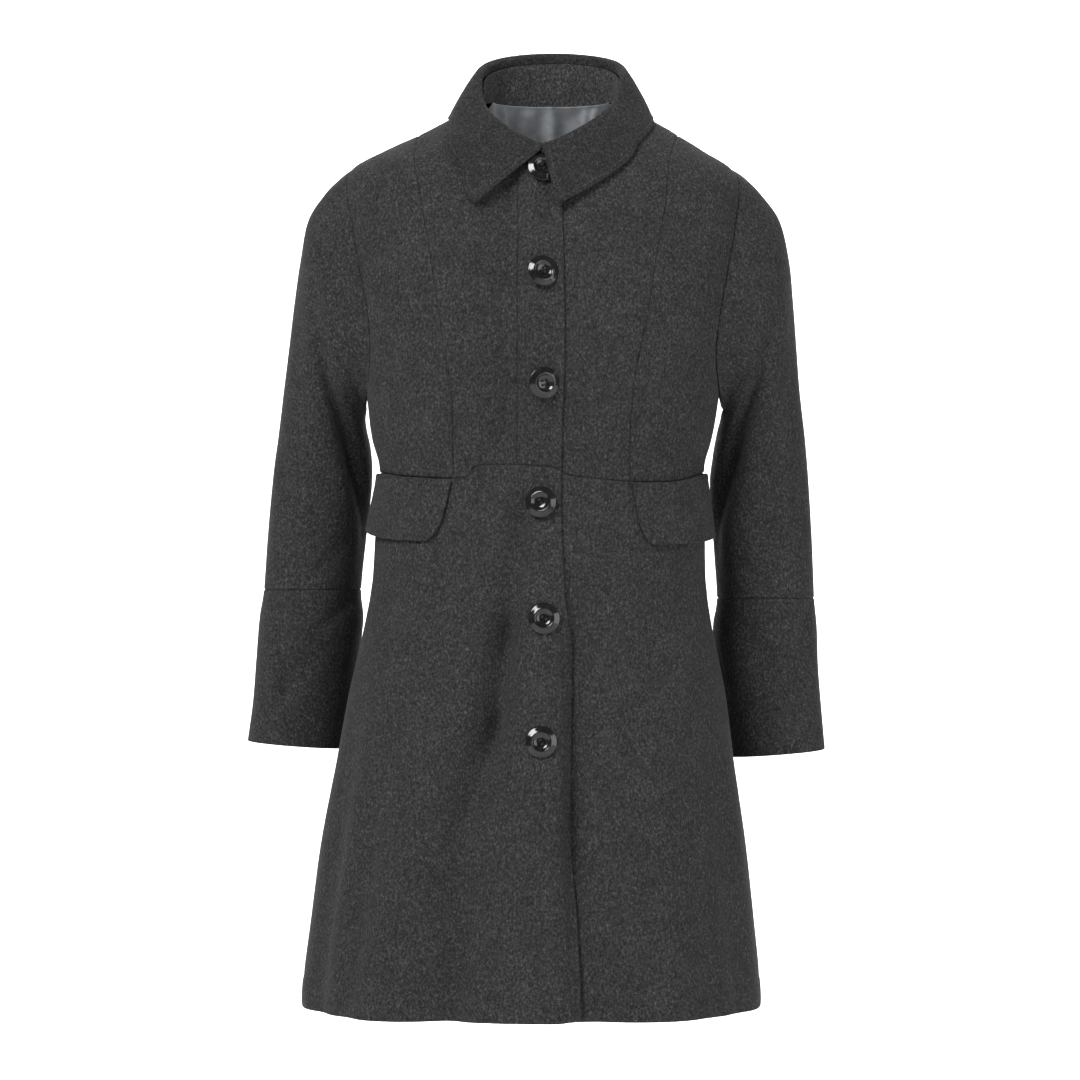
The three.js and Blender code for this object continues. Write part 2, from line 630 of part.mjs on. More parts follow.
function creaseRound(round, at) {
  const aim = mix(CREASE_COLUMN, read(SLEEVE_CREASE, 'at', 'round', at), ease((at - 1) / 3));
  if (round < CREASE_COLUMN) {
    return (round / CREASE_COLUMN) * aim;
  }
  return round < 0.5 ? mix(aim, 0.5, (round - CREASE_COLUMN) / (0.5 - CREASE_COLUMN)) : round;
}

function sleeve(side, from, to) {
  return (u, v) => {
    const at = mix(from, to, v);
    const share = u - Math.floor(u);
    const round = creaseRound(share, at);
    const point = sleeveRing(round, at);
    const middle = sleeveRing(0, at).add(sleeveRing(0.5, at)).multiplyScalar(0.5);
    const depth = read(SLEEVE_CREASE, 'at', 'depth', at)
      * Math.exp(-(((round - read(SLEEVE_CREASE, 'at', 'round', at)) / CREASE_HALF_WIDTH) ** 2));
    point.addScaledVector(middle.sub(point).normalize(), Math.max(0, depth));
    point.x = side * point.x + read(SLEEVE_RINGS, 'at', 'lean', at);
    if (side === LEFT) {
      point.z -= LEFT_SLEEVE_DROP * ease((at - 5) / 5);
    }
    const stay = 1 - ease(at / ARMHOLE_FADE_RINGS);
    if (stay > 0) {
      const start = sleeveRing(round, 0);
      start.x = side * start.x + SLEEVE_RINGS[0].lean;
      point.addScaledVector(armholePoint(side, share).sub(start), stay);
      const underarm = ease(1 - Math.abs(share - 0.5) / UNDERARM_GAP_SPREAD);
      point.x += side * stay * mix(ARMHOLE_GAP, UNDERARM_GAP, underarm);
    }
    return point;
  };
}
const halfRounds = easedShares.map((share) => 0.5 * share);
const sleeveColumns = [...halfRounds, ...halfRounds.slice(0, -1).reverse().map((round) => 1 - round)];
for (const [name, side] of [['right', RIGHT], ['left', LEFT]]) {
  const facing = { closed: true, inwards: -side };
  const upper = sleeve(side, 0, ELBOW_RING);
  const lower = sleeve(side, ELBOW_RING, LAST_RING);
  addPiece(`sleeve_upper_${name}`, wallGeometry(upper, sleeveColumns, ELBOW_RING, facing));
  addPiece(`sleeve_lower_${name}`, wallGeometry(lower, sleeveColumns, LAST_RING - ELBOW_RING, facing));
}

// Collar: a stand on the neck seam, and a fall that rolls over it and lies on the shoulders.
function rollPoint(share) {
  const turn = 2 * Math.PI * share;
  const c = Math.cos(turn);
  const frontness = (1 + c) / 2;
  return new THREE.Vector3(
    ROLL.centre * (1 - frontness ** 2) - ROLL.halfWidth * Math.sin(turn),
    (ROLL.back - ROLL.front) / 2 - ((ROLL.back + ROLL.front) / 2) * c,
    ROLL.frontZ + ROLL.rise * ((1 - c) / 2) ** ROLL.easing,
  );
}

function rollOutward(share) {
  const turn = 2 * Math.PI * share;
  return new THREE.Vector3(-Math.sin(turn) / ROLL.halfWidth, -Math.cos(turn) / ROLL.back, 0).normalize();
}

function rollSeam(share) {
  const drop = mix(ROLL_SEAM_FRONT_DROP, ROLL_SEAM_DROP, Math.sin(Math.PI * share));
  const seam = rollPoint(share).addScaledVector(rollOutward(share), -ROLL_RADIUS);
  seam.z -= drop;
  return seam;
}

const alongCollar = (u) => mix(ROLL_END_SHARE, 1 - ROLL_END_SHARE, u);

function fall(u, v) {
  const share = alongCollar(u);
  const top = rollPoint(share);
  const out = rollOutward(share);
  const raised = (outward, up) => top.clone().addScaledVector(out, outward).add(new THREE.Vector3(0, 0, up));
  const off = Math.min(share, 1 - share);
  const proud = COLLAR_PROUD + LAP_LIFT * ease(1 - off / COLLAR_LAP_SHARE)
    + COLLAR_END_RISE * ease(1 - off / COLLAR_END_SHARE);
  const edge = skin(read(COLLAR_EDGE, 'share', 'angle', u), read(COLLAR_EDGE, 'share', 'z', u), proud);
  const shoulder = raised(ROLL_RADIUS, -4);
  const middle = shoulder.clone().lerp(edge, 0.5).addScaledVector(out, FALL_SPRING);
  const line = new THREE.CatmullRomCurve3([
    rollSeam(share), raised(-ROLL_RADIUS, -3), raised(0, 1), shoulder, middle, edge,
  ]);
  return line.getPoint(v);
}

function stand(u, v) {
  const share = alongCollar(u);
  const side = share < 0.5 ? RIGHT : LEFT;
  const turn = 4 * Math.min(share, 1 - share);
  const angle = side * read(NECK_SEAM, 'turn', 'angle', turn);
  const footZ = read(NECK_SEAM, 'turn', 'z', turn) + STAND_GAP;
  const foot = skin(angle, footZ).addScaledVector(rollOutward(share), -STAND_INSET);
  return rollSeam(share).lerp(foot, v);
}
const fallRows = [0, 0.12, 0.24, 0.34, 0.44, 0.56, 0.7, 0.85, 1];
const COLLAR_COLUMNS = 30;
addPiece('collar_stand', wallGeometry(stand, COLLAR_COLUMNS, 2, { inwards: -1 }));
addPiece('collar_fall', wallGeometry(fall, COLLAR_COLUMNS, fallRows, { inwards: -1 }));

// Pocket flaps, sewn in the waist seam and hanging over the hips.
function flap({ side, innerTop, footZ, footRise }) {
  return onSkin((u, v) => {
    const inner = innerTop + FLAP_SLANT * v + FLAP_CORNER * v ** 6;
    const angle = side * mix(inner, FLAP_OUTER, u);
    const topZ = waistSeam(skin(angle, WAIST_Z).x) - FLAP_TOP_DROP;
    return [angle, mix(topZ, footZ + footRise * u ** 1.5, v)];
  });
}
for (const row of FLAPS) {
  const flat = flap(row);
  const standOff = (u, v) => WALL + FLAP_GAP + FLAP_STAND * v * u * u;
  const shape = (u, v) => flat(u, v).addScaledVector(flat.inward(u, v), -standOff(u, v));
  shape.inward = flat.inward;
  addPiece(row.name, wallGeometry(shape, 7, 4, { inwards: row.side }));
}

// Lining inside the back of the neck, with its ease pleat, in [x, z] seen from behind.
const liningTop = (u) => {
  const side = u < 0.5 ? LEFT : RIGHT;
  const [x, z] = neckSeam(side * mix(LINING.turn, 2, 2 * Math.min(u, 1 - u)));
  return [x, z - LINING.topDrop];
};
const liningFoot = (u) => [section(LINING.footZ).centre + mix(1, -1, u) * LINING.footHalfWidth, LINING.footZ];
const liningSide = (u) => (v) => [0, 1].map((k) => mix(liningTop(u)[k], liningFoot(u)[k], v));
const liningMap = patch(liningFoot, liningTop, liningSide(0), liningSide(1));
function lining(u, v) {
  const [x, z] = liningMap(u, v);
  const [angle] = onBack([x, z]);
  const pleat = LINING.pleatDepth * Math.exp(-(((x - LINING.pleatX) / LINING.pleatSpread) ** 2)) * (1 - v);
  return skin(angle, z).addScaledVector(skinInward(angle, z), LINING.inset + pleat);
}
lining.inward = (u, v) => skinInward(onBack(liningMap(u, v))[0], liningMap(u, v)[1]);
const satin = new THREE.Color(0x7b7d80);
addPiece('lining_back_neck', wallGeometry(lining, 15, 5, { wall: LINING_WALL }), satin, 0.35);

// Buttons: a dished disc with a rolled rim and four holes.
const wasm = await Module();
wasm.setup();

function toSolid(geometry) {
  const bare = geometry.index ? geometry : mergeVertices(geometry);
  bare.deleteAttribute('normal');
  bare.deleteAttribute('uv');
  const merged = mergeVertices(bare, 1e-4);
  return new wasm.Manifold(new wasm.Mesh({
    numProp: 3,
    vertProperties: new Float32Array(merged.attributes.position.array),
    triVerts: new Uint32Array(merged.index.array),
  }));
}

function toGeometry(solid) {
  const mesh = solid.getMesh();
  const geometry = new THREE.BufferGeometry();
  geometry.setAttribute('position', new THREE.Float32BufferAttribute(mesh.vertProperties, 3));
  geometry.setIndex([...mesh.triVerts]);
  return geometry;
}

function buttonSolid() {
  const { radius, thickness, holeRadius, holeSpread } = BUTTON;
  const profile = [
    [0, 0], [radius - 1.5, 0], [radius, 1.6], [radius - 0.6, thickness - 0.5], [radius - 2.4, thickness],
    [radius - 4.6, thickness - 1.3], [0, thickness - 1.9],
  ].map(([r, h]) => new THREE.Vector2(r, h));
  let disc = toSolid(new THREE.LatheGeometry(profile, 24));
  for (let i = 0; i < 4; i += 1) {
    const hole = new THREE.CylinderGeometry(holeRadius, holeRadius, 3 * thickness, 6);
    const turn = (i + 0.5) * (Math.PI / 2);
    hole.translate(holeSpread * Math.cos(turn), 0, holeSpread * Math.sin(turn));
    disc = disc.subtract(toSolid(hole));
  }
  return toGeometry(disc);
}
const buttonGeometry = buttonSolid();
BUTTONS.forEach(({ x, z, turn, seat }, i) => {
  const mesh = addPiece(`button_${i + 1}`, buttonGeometry.clone(), new THREE.Color(0x0b0b0c), 0.12);
  const angle = angleAt(x, z);
  const outward = skinInward(angle, z).negate();
  mesh.position.copy(skin(angle, z, skirtLift(x, Math.min(z, WAIST_Z)) + BUTTON_GAP + seat));
  mesh.quaternion.setFromUnitVectors(new THREE.Vector3(0, 1, 0), outward);
  mesh.rotateY(turn * degrees);
});

export default coat;
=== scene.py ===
import math
import bpy
import numpy as np
from mathutils import Matrix, Quaternion, Vector


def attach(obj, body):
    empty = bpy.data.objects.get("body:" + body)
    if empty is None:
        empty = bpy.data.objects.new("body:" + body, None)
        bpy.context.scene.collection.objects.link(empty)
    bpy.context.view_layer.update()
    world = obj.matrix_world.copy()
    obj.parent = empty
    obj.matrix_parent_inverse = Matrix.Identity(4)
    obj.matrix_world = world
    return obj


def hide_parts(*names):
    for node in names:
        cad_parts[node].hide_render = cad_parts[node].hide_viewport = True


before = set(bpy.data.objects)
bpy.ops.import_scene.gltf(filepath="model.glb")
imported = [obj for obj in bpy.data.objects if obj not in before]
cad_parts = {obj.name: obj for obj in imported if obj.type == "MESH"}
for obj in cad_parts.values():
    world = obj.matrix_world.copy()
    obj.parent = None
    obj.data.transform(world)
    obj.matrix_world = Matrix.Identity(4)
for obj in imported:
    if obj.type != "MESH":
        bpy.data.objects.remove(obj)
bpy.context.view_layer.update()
print("frame loaded:", len(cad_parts), "solids")

# Lengths are in millimetres until a mesh is made. The front faces -Y, +X is the wearer's left.
mm = 0.001
left, right = 1, -1

cloth = {"wall": 2.5, "step": 4.6, "deepestShare": 0.72, "thinnest": 0.05}
pucker = {"depth": 0.28, "reach": 9, "shortWave": 6.1, "drift": 2.1, "driftWave": 19, "longWave": 31,
          "longShift": 0.7}

# how far the cloth dips into a seam, over what width, and how far its edge is drawn to the neighbour
seamForms = {"seam": (1.7, 2.2, 0.26), "softSeam": (0.95, 2.0, 0.3), "deepSeam": (1.8, 2.5, 0.05)}
waist = {"z": -364, "sideZ": -360, "gap": 0.5}
hem = {"z": -915, "cornerRise": 3, "cornerWidth": 20, "turnUp": 33, "lineDepth": 0.55, "lineWidth": 2.6,
       "fullness": 0.5, "fullnessFade": 12, "edgeFade": 6}
lap = {"lift": 3.3, "startX": -62, "fullX": -34, "hemLift": 4, "hemStartX": -50, "hemWidth": 60,
       "bandSeamX": -28, "underEdgeX": -23}
underarmZ = -285
sideAngle = 90
shoulder = {"outerZ": -41, "neckZ": 27}


def tableOf(columns, *rows):
    return {name: np.array([row[i] for row in rows], float) for i, name in enumerate(columns.split())}


# level sections of bodice and skirt, from the neck down
bodySections = tableOf(
    "z halfWidth front back power centre",
    (40, 52, 6, 44, 2, 8.5), (28, 74, 19, 56, 2, 8.5), (10, 107, 42, 66, 2, 8), (-6, 136, 56, 73, 2.05, 6),
    (-23, 168, 66, 79, 2.1, 1), (-40, 197, 74, 84, 2.25, -1), (-60, 210, 83, 89, 2.45, 0),
    (-95, 212, 96, 95, 2.6, 1), (-150, 205, 112, 101, 2.7, 1), (-200, 196, 121, 103, 2.65, 1),
    (-240, 189, 124, 102, 2.6, 0), (-285, 184, 121, 99, 2.5, 0), (-325, 178, 114, 95, 2.45, -1),
    (-350, 171, 109, 92, 2.4, -1), (-372, 170, 108, 93, 2.4, -1), (-430, 173, 117, 104, 2.4, -3),
    (-475, 175, 122, 111, 2.4, -4), (-520, 182, 128, 117, 2.45, -5), (-590, 197, 137, 125, 2.5, -6),
    (-661, 208, 145, 132, 2.55, -8), (-745, 222, 153, 140, 2.6, -10), (-829, 232, 160, 147, 2.7, -11),
    (-892, 239, 165, 152, 2.7, -12), (-930, 240, 167, 153, 2.7, -12))

# broad folds, by degrees round from the centre front
bodyFolds = tableOf(
    "topAngle hemAngle topZ spread depth",
    (-6, -21, -395, 5.5, -12), (-20, -37, -430, 9, 7), (10, 16, -470, 5, -10), (27, 33, -430, 9, 6),
    (56, 57, -560, 7, -8), (-62, -60, -560, 7, -9), (44, 45, -600, 6, -5), (-45, -47, -640, 5, -6),
    (118, 122, -420, 7, -11), (138, 141, -440, 7, 7), (160, 161, -400, 6, -13), (-176, -178, -430, 6, 7),
    (-157, -158, -400, 6, -12), (-134, -138, -450, 7, 7), (-116, -120, -430, 7, -11))

# soft creases of the front, each along a line in x and z
frontCreases = tableOf(
    "x0 z0 x1 z1 width depth",
    (-20, -400, -38, -535, 14, -13),
    (-38, -530, -54, -630, 16, -16),
    (-54, -620, -82, -715, 16, -14),
    (-82, -700, -92, -900, 18, -10),
    (-72, -470, -112, -700, 34, -8),
    (38, -520, 42, -760, 10, -10),
    (42, -730, 48, -900, 11, -8),
    (-38, -60, -36, -340, 19, -12),
    (6, -70, 7, -340, 11, -4.5),
    (-60, -372, -38, -430, 22, -1.6),
    (-128, -330, -160, -262, 9, -1.3),
    (-118, -318, -150, -236, 8, 0.8),
    (132, -325, 160, -256, 9, -1.2),
    (-96, -452, -118, -590, 14, -3.2),
    (-150, -450, -158, -560, 10, -2.0),
    (112, -455, 124, -600, 14, -2.8),
    (60, -470, 76, -640, 12, -2.2),
    (92, -640, 128, -820, 18, -3.0),
    (-150, -640, -176, -840, 15, -3.0),
    (-120, -120, -128, -210, 16, -1.2),
    (120, -110, 126, -220, 16, -1.0),
    (52, -96, 48, -300, 22, 1.6),
    (-104, -90, -92, -340, 16, 1.4),
    (60, -378, 82, -440, 12, -0.9),
    (-12, -700, -30, -880, 15, 1.5))

# the same kind on the back
backCreases = tableOf(
    "x0 z0 x1 z1 width depth",
    (-150, -120, -120, -230, 14, -2.2),
    (150, -112, 118, -240, 14, -2.4),
    (-120, -300, -60, -345, 11, -1.5),
    (126, -290, 70, -348, 12, -1.6),
    (6, -20, 2, -130, 30, -1.0),
    (-40, -330, 30, -346, 9, -1.0),
    (60, -372, 52, -430, 10, -0.9),
    (-66, -370, -60, -440, 10, -0.9))

# seams and edges: the neck seam by its way round from the centre front, the armhole by its height,
# the long front seam and the overlapping edge by z, the waist seam by x
neckSeamTable = tableOf(
    "turn angle z",
    (0, 0, -38), (0.3, 9, -34), (0.6, 24, -15), (0.8, 43, 9), (1, 90, 27), (1.3, 122, 28), (1.6, 150, 28),
    (2, 180, 28))
armholeTable = tableOf(
    "rise z front back",
    (0, -285, 90, 90), (0.1, -274, 75, 104), (0.25, -240, 64, 116), (0.45, -190, 60, 120),
    (0.65, -135, 61, 119), (0.82, -85, 65, 115), (0.93, -54, 75, 105), (1, -41, 90, 90))
frontSeamTable = tableOf(
    "z x", (-6, 136), (-45, 131), (-88, 125), (-141, 116), (-196, 107), (-250, 97), (-292, 91), (-370, 90))
waistSeamTable = tableOf(
    "x z", (-170, -360), (-140, -365), (-76, -366), (-71, -355), (8, -356), (26, -364), (60, -368),
    (100, -371), (140, -369), (168, -360))
overEdgeTable = tableOf(
    "z x", (-20, 16), (-85, 19), (-220, 21.5), (-390, 18), (-495, 23), (-535, 31), (-700, 32), (-860, 39),
    (-930, 40))


def mix(a, b, t):
    return a + (b - a) * t


def ease(t):
    t = np.clip(t, 0, 1)
    return t * t * (3 - 2 * t)


def always(value):
    return lambda at: value + 0 * at


def unit(v):
    return v / np.maximum(np.linalg.norm(v, axis=-1, keepdims=True), 1e-12)


def readTable(table, on, column, value):
    # smooth line through the table's rows
    at, to = table[on], table[column]
    if at[0] > at[-1]:
        at, to = at[::-1], to[::-1]
    before = np.concatenate(([0], np.arange(len(at) - 1)))
    after = np.concatenate((np.arange(1, len(at)), [len(at) - 1]))
    slope = (to[after] - to[before]) / (at[after] - at[before])
    value = np.clip(np.asarray(value, float), at[0], at[-1])
    i = np.clip(np.searchsorted(at, value, side="right") - 1, 0, len(at) - 2)
    span = at[i + 1] - at[i]
    t = (value - at[i]) / span
    return ((2 * t**3 - 3 * t**2 + 1) * to[i] + (t**3 - 2 * t**2 + t) * span * slope[i]
            + (3 * t**2 - 2 * t**3) * to[i + 1] + (t**3 - t**2) * span * slope[i + 1])


def rowsOf(table):
    names = list(table)
    return [dict(zip(names, row)) for row in zip(*(table[name] for name in names))]


def foldDepth(angle, z):
    # a fold begins soon below its top and drifts round to its place at the hem
    depth = 0
    for fold in rowsOf(bodyFolds):
        down = np.clip((fold["topZ"] - z) / (fold["topZ"] - hem["z"]), 0, 1)
        off = angle - mix(fold["topAngle"], fold["hemAngle"], down)
        off = off - 360 * np.round(off / 360)
        depth = depth + fold["depth"] * ease(down * 1.8) * np.exp(-((off / fold["spread"]) ** 2))
    return depth


def creaseDepth(table, across, up):
    # each crease is a soft trough, or a ridge where depth is above 0, that fades out at both ends
    depth = 0
    for row in rowsOf(table):
        start = np.array((row["x0"], row["z0"]))
        run = np.array((row["x1"], row["z1"])) - start
        length = math.hypot(*run)
        along = ((across - start[0]) * run[0] + (up - start[1]) * run[1]) / length**2
        side = ((across - start[0]) * run[1] - (up - start[1]) * run[0]) / length
        beyond = np.maximum(0, np.abs(along - 0.5) - 0.35) / 0.3
        depth = depth + row["depth"] * np.exp(-((side / row["width"]) ** 2) - beyond**2)
    return depth


def section(name, z):
    return readTable(bodySections, "z", name, z)


def skin(angle, z, lift=0, creased=True):
    # outer face of the coat, at degrees round from the centre front
    angle, z = np.broadcast_arrays(np.asarray(angle, float), np.asarray(z, float))
    at = {name: section(name, z) for name in ("halfWidth", "front", "back", "power", "centre")}
    s, c = np.sin(np.radians(angle)), np.cos(np.radians(angle))
    swell = (np.abs(s) ** at["power"] + np.abs(c) ** at["power"]) ** (-1 / at["power"])
    x = at["halfWidth"] * swell * s
    y = -np.where(c > 0, at["front"], at["back"]) * swell * c
    out = foldDepth(angle, z) + lift
    if creased:
        creases = np.where(c > 0, creaseDepth(frontCreases, x, z), creaseDepth(backCreases, x, z))
        out = out + creases * ease(np.abs(c) * 4)    # none right at the side
    grow = 1 + out / np.hypot(x, y)
    return np.stack((at["centre"] + x * grow, y * grow, z), -1)


def skinInward(angle, z):
    across = skin(angle + 0.2, z) - skin(angle - 0.2, z)
    down = skin(angle, z - 0.5) - skin(angle, z + 0.5)
    return unit(np.cross(across, down))


def angleAt(x, z):
    # degrees round from the centre front, for a place on the front
    centre, halfWidth, power = (section(name, z) for name in ("centre", "halfWidth", "power"))
    across = np.minimum(1, np.abs(x - centre) / halfWidth)
    forward = (1 - across**power) ** (1 / power)
    return np.sign(x - centre) * np.degrees(np.arctan2(across, forward))


def overLift(x):
    return lap["lift"] * ease((x - lap["startX"]) / (lap["fullX"] - lap["startX"]))


def skirtLift(x, z):
    down = np.clip((waist["z"] - z) / (waist["z"] - hem["z"]), 0, 1)
    return overLift(x) + lap["hemLift"] * down * ease((x - lap["hemStartX"]) / lap["hemWidth"])


def spacedShares(length, step):
    # shares of a length, close together beside its two ends, which are turned or stitched
    close = np.array((0, 0.35, 0.9, 1.7, 2.8, 4.6))    # mm in from the edge
    inner = np.linspace(close[-1], length - close[-1], max(2, int(round(length / step))))
    return np.concatenate((close[:-1], inner, length - close[-2::-1])) / length


def edgeDistances(points):
    # how far each point of a grid is from the grid's four edges, along the cloth
    across = np.linalg.norm(np.diff(points, axis=1), axis=2)
    down = np.linalg.norm(np.diff(points, axis=0), axis=2)
    start = np.pad(np.cumsum(across, axis=1), ((0, 0), (1, 0)))
    top = np.pad(np.cumsum(down, axis=0), ((1, 0), (0, 0)))
    return {"start": start, "end": start[:, -1:] - start, "top": top, "foot": top[-1:, :] - top}


def roundDrop(distance, width):
    return 1 - np.sqrt(np.maximum(0, 1 - (1 - np.clip(distance / width, 0, 1)) ** 2))


def edgeForm(kind, distance, along, wall):
    # a seam dips and puckers where its turnings go in, a folded edge is rounded on both faces
    if kind in seamForms:
        depth, width, _ = seamForms[kind]
        drift = pucker["drift"] * np.sin(along / pucker["driftWave"])
        wave = np.sin(along / pucker["shortWave"] + drift)
        wave = wave * np.sin(along / pucker["longWave"] + pucker["longShift"])
        gather = pucker["depth"] * wave * np.exp(-distance / pucker["reach"])
        return depth * roundDrop(distance, width) + gather, 0
    rounding = wall / 2 * roundDrop(distance, wall / 2)
    return rounding, rounding


def clothWall(name, shape, inward, us, vs, edges, wall, relief=None):
    # closed shell of cloth: outer face, inner face and a rim; a tube has no start and no end
    closed = "start" not in edges
    u, v = np.meshgrid(us, vs)
    outer, into = shape(u, v), inward(u, v)
    away = edgeDistances(outer)
    dip, rise = np.zeros(u.shape), np.zeros(u.shape)
    for edge, kind in edges.items():
        along = away["top"] if edge in ("start", "end") else away["start"]
        drop, lift = edgeForm(kind, away[edge], along, wall)
        dip, rise = dip + drop, rise + lift
    if relief is not None:
        dip = dip - relief(u, v, away)
    dip = np.minimum(dip, wall * cloth["deepestShare"])
    moved = outer.copy()
    lines = {"start": ((slice(None), 0), (slice(None), 1)), "end": ((slice(None), -1), (slice(None), -2)),
             "top": ((0,), (1,)), "foot": ((-1,), (-2,))}
    for edge, kind in edges.items():
        if kind in seamForms:
            here, beside = lines[edge]
            moved[here] -= seamForms[kind][2] * unit(outer[beside] - outer[here])
    outerFace = moved + into * dip[..., None]
    innerFace = moved + into * np.maximum(wall - rise, dip + cloth["thinnest"])[..., None]
    if closed:
        outerFace, innerFace = outerFace[:, :-1], innerFace[:, :-1]
    across, down = outer[1:-1, 2:] - outer[1:-1, :-2], outer[2:, 1:-1] - outer[:-2, 1:-1]
    flip = np.mean(np.sum(np.cross(across, down) * into[1:-1, 1:-1], axis=-1)) < 0
    return shellMesh(name, outerFace, innerFace, closed, flip)


def shellMesh(name, outerFace, innerFace, closed, flip):
    rows, columns = outerFace.shape[:2]
    points = np.concatenate((outerFace.reshape(-1, 3), innerFace.reshape(-1, 3)))
    index = np.arange(rows * columns).reshape(rows, columns)
    if closed:
        index = np.concatenate((index, index[:, :1]), axis=1)
    a, b, c, d = index[:-1, :-1], index[:-1, 1:], index[1:, 1:], index[1:, :-1]
    offset = rows * columns
    quads = [np.stack((a, d, c, b), -1).reshape(-1, 4), offset + np.stack((a, b, c, d), -1).reshape(-1, 4)]

    def rim(line):
        quads.append(np.stack((line[:-1], line[1:], line[1:] + offset, line[:-1] + offset), -1))
    rim(index[0, :])
    rim(index[-1, ::-1])
    if not closed:
        rim(index[::-1, 0])
        rim(index[:, -1])
    faces = np.concatenate(quads)
    return meshObject(name, points, (faces if flip else faces[:, ::-1]).tolist())


def meshObject(name, points, faces):
    mesh = bpy.data.meshes.new(name)
    mesh.from_pydata((np.asarray(points) * mm).tolist(), [], faces)
    mesh.validate()
    mesh.shade_smooth()
    return addObject(name, mesh)


def addObject(name, data):
    item = bpy.data.objects.new(name, data)
    bpy.context.scene.collection.objects.link(item)
    return item


def tubeFaces(rings, sides, first=0):
    # faces round a stack of rings of points, and one over each end
    index = first + np.arange(rings * sides).reshape(rings, sides)
    beside = np.roll(index, -1, 1)
    quads = np.stack((index[:-1], beside[:-1], beside[1:], index[1:]), -1).reshape(-1, 4).tolist()
    return quads + [index[0, ::-1].tolist(), index[-1].tolist()]


def patch(foot, top, start, end, fade=1):
    # surface between four edges, each of which gives a pair of numbers along itself; a bent top
    # edge straightens out faster down the piece where fade is higher
    def at(u, v):
        ends = [np.stack(edge, -1) for edge in (top(u), foot(u), start(v), end(v))]
        zero, one = np.zeros(1), np.ones(1)
        corners = [np.stack(edge(w), -1) for edge, w in ((top, zero), (top, one), (foot, zero), (foot, one))]
        u2, v2 = u[..., None], v[..., None]
        straight = mix(corners[0], corners[1], u2)
        ruled = mix(straight, ends[1], v2) + mix(ends[2], ends[3], u2) + (ends[0] - straight) * (1 - v2) ** fade
        pair = ruled - mix(straight, mix(corners[2], corners[3], u2), v2)
        return pair[..., 0], pair[..., 1]
    return at


def skinPiece(toAngle, lift=None):
    # gives the shape and the inward direction of a piece that lies on the skin
    def shape(u, v):
        angle, z = toAngle(u, v)
        if lift is None:
            return skin(angle, z)
        return skin(angle, z, lift(skin(angle, z, creased=False)[..., 0], z))

    def inward(u, v):
        return skinInward(*toAngle(u, v))
    return shape, inward


def freePiece(shape, sign):
    # the same for a piece with a shape of its own; sign turns the inward direction
    step = 1e-3

    def inward(u, v):
        across = shape(u + step, v) - shape(u - step, v)
        down = shape(u, v + step) - shape(u, v - step)
        return unit(np.cross(across, down)) * sign
    return shape, inward


# Bodice. v runs from the top edge, 0, to the waist seam, 1.
underarmShare = 0.75
neckShare = 0.6
shoulderShare = 0.25


def facing(flat, behind=False):
    # angle and height on the skin, for a piece laid out by x and z on the front or the back
    def toAngle(u, v):
        x, z = flat(u, v)
        return (180 - angleAt(x, z) if behind else angleAt(x, z)), z
    return toAngle


def waistSeam(x):
    return readTable(waistSeamTable, "x", "z", x)


def shoulderX(side, z):
    # the shoulder seam runs along the very side of the body
    return section("centre", z) + side * section("halfWidth", z)


def outerEdge(column):
    # armhole edge of a bodice piece, then its side seam
    def at(v):
        rise = 1 - np.clip(v / underarmShare, 0, 1)
        low = v >= underarmShare
        lowZ = mix(underarmZ, waist["sideZ"], (v - underarmShare) / (1 - underarmShare))
        return (np.where(low, sideAngle, readTable(armholeTable, "rise", column, rise)),
                np.where(low, lowZ, readTable(armholeTable, "rise", "z", rise)))
    return at


def frontSeam(side):
    footZ = waistSeam(side * frontSeamTable["x"][-1])

    def at(v):
        z = mix(frontSeamTable["z"][0], footZ, v)
        return section("centre", z) + side * readTable(frontSeamTable, "z", "x", z), z
    return at


def neckSeam(turn):
    # from the centre front, 0, by the shoulder, 1, to the centre back, 2; minus on the wearer's right
    z = readTable(neckSeamTable, "turn", "z", np.abs(turn))
    angle = np.sign(turn) * readTable(neckSeamTable, "turn", "angle", np.abs(turn))
    return skin(angle, z, creased=False)[..., 0], z


def neckEdge(xAt):
    # up-and-down edge from the neck seam to the waist; xAt gives its x at each height
    turns = np.linspace(-1, 1, 4001)
    turn = float(np.interp(xAt(neckSeamTable["z"][0]), neckSeam(turns)[0], turns))
    topZ, footZ = neckSeam(turn)[1], waistSeam(xAt(waist["z"]))
    return turn, lambda v: (xAt(mix(topZ, footZ, v)), mix(topZ, footZ, v))


def overEdgeX(z):
    return readTable(overEdgeTable, "z", "x", z)


bandTurn, bandEdge = neckEdge(always(lap["bandSeamX"]))
lapTurn, lapEdge = neckEdge(overEdgeX)
underTurn, underEdge = neckEdge(always(lap["underEdgeX"]))


def alongWaist(startX, endX):
    def at(u):
        x = mix(startX, endX, u)
        return x, waistSeam(x)
    return at


def centrePatch(side, turn, edge):
    seam = frontSeam(side)
    shoulderZ = neckSeam(side)[1]

    def top(u):
        z = mix(shoulderZ, frontSeamTable["z"][0], np.clip((u - neckShare) / (1 - neckShare), 0, 1))
        neck = neckSeam(mix(turn, side, np.clip(u / neckShare, 0, 1)))
        outside = u > neckShare
        return np.where(outside, shoulderX(side, z), neck[0]), np.where(outside, z, neck[1])
    foot = alongWaist(edge(np.ones(1))[0][0], seam(np.ones(1))[0][0])
    return facing(patch(foot, top, edge, seam, fade=6))


def bandPatch():
    foot = alongWaist(bandEdge(np.ones(1))[0][0], lapEdge(np.ones(1))[0][0])
    return facing(patch(foot, lambda u: neckSeam(mix(bandTurn, lapTurn, u)), bandEdge, lapEdge))


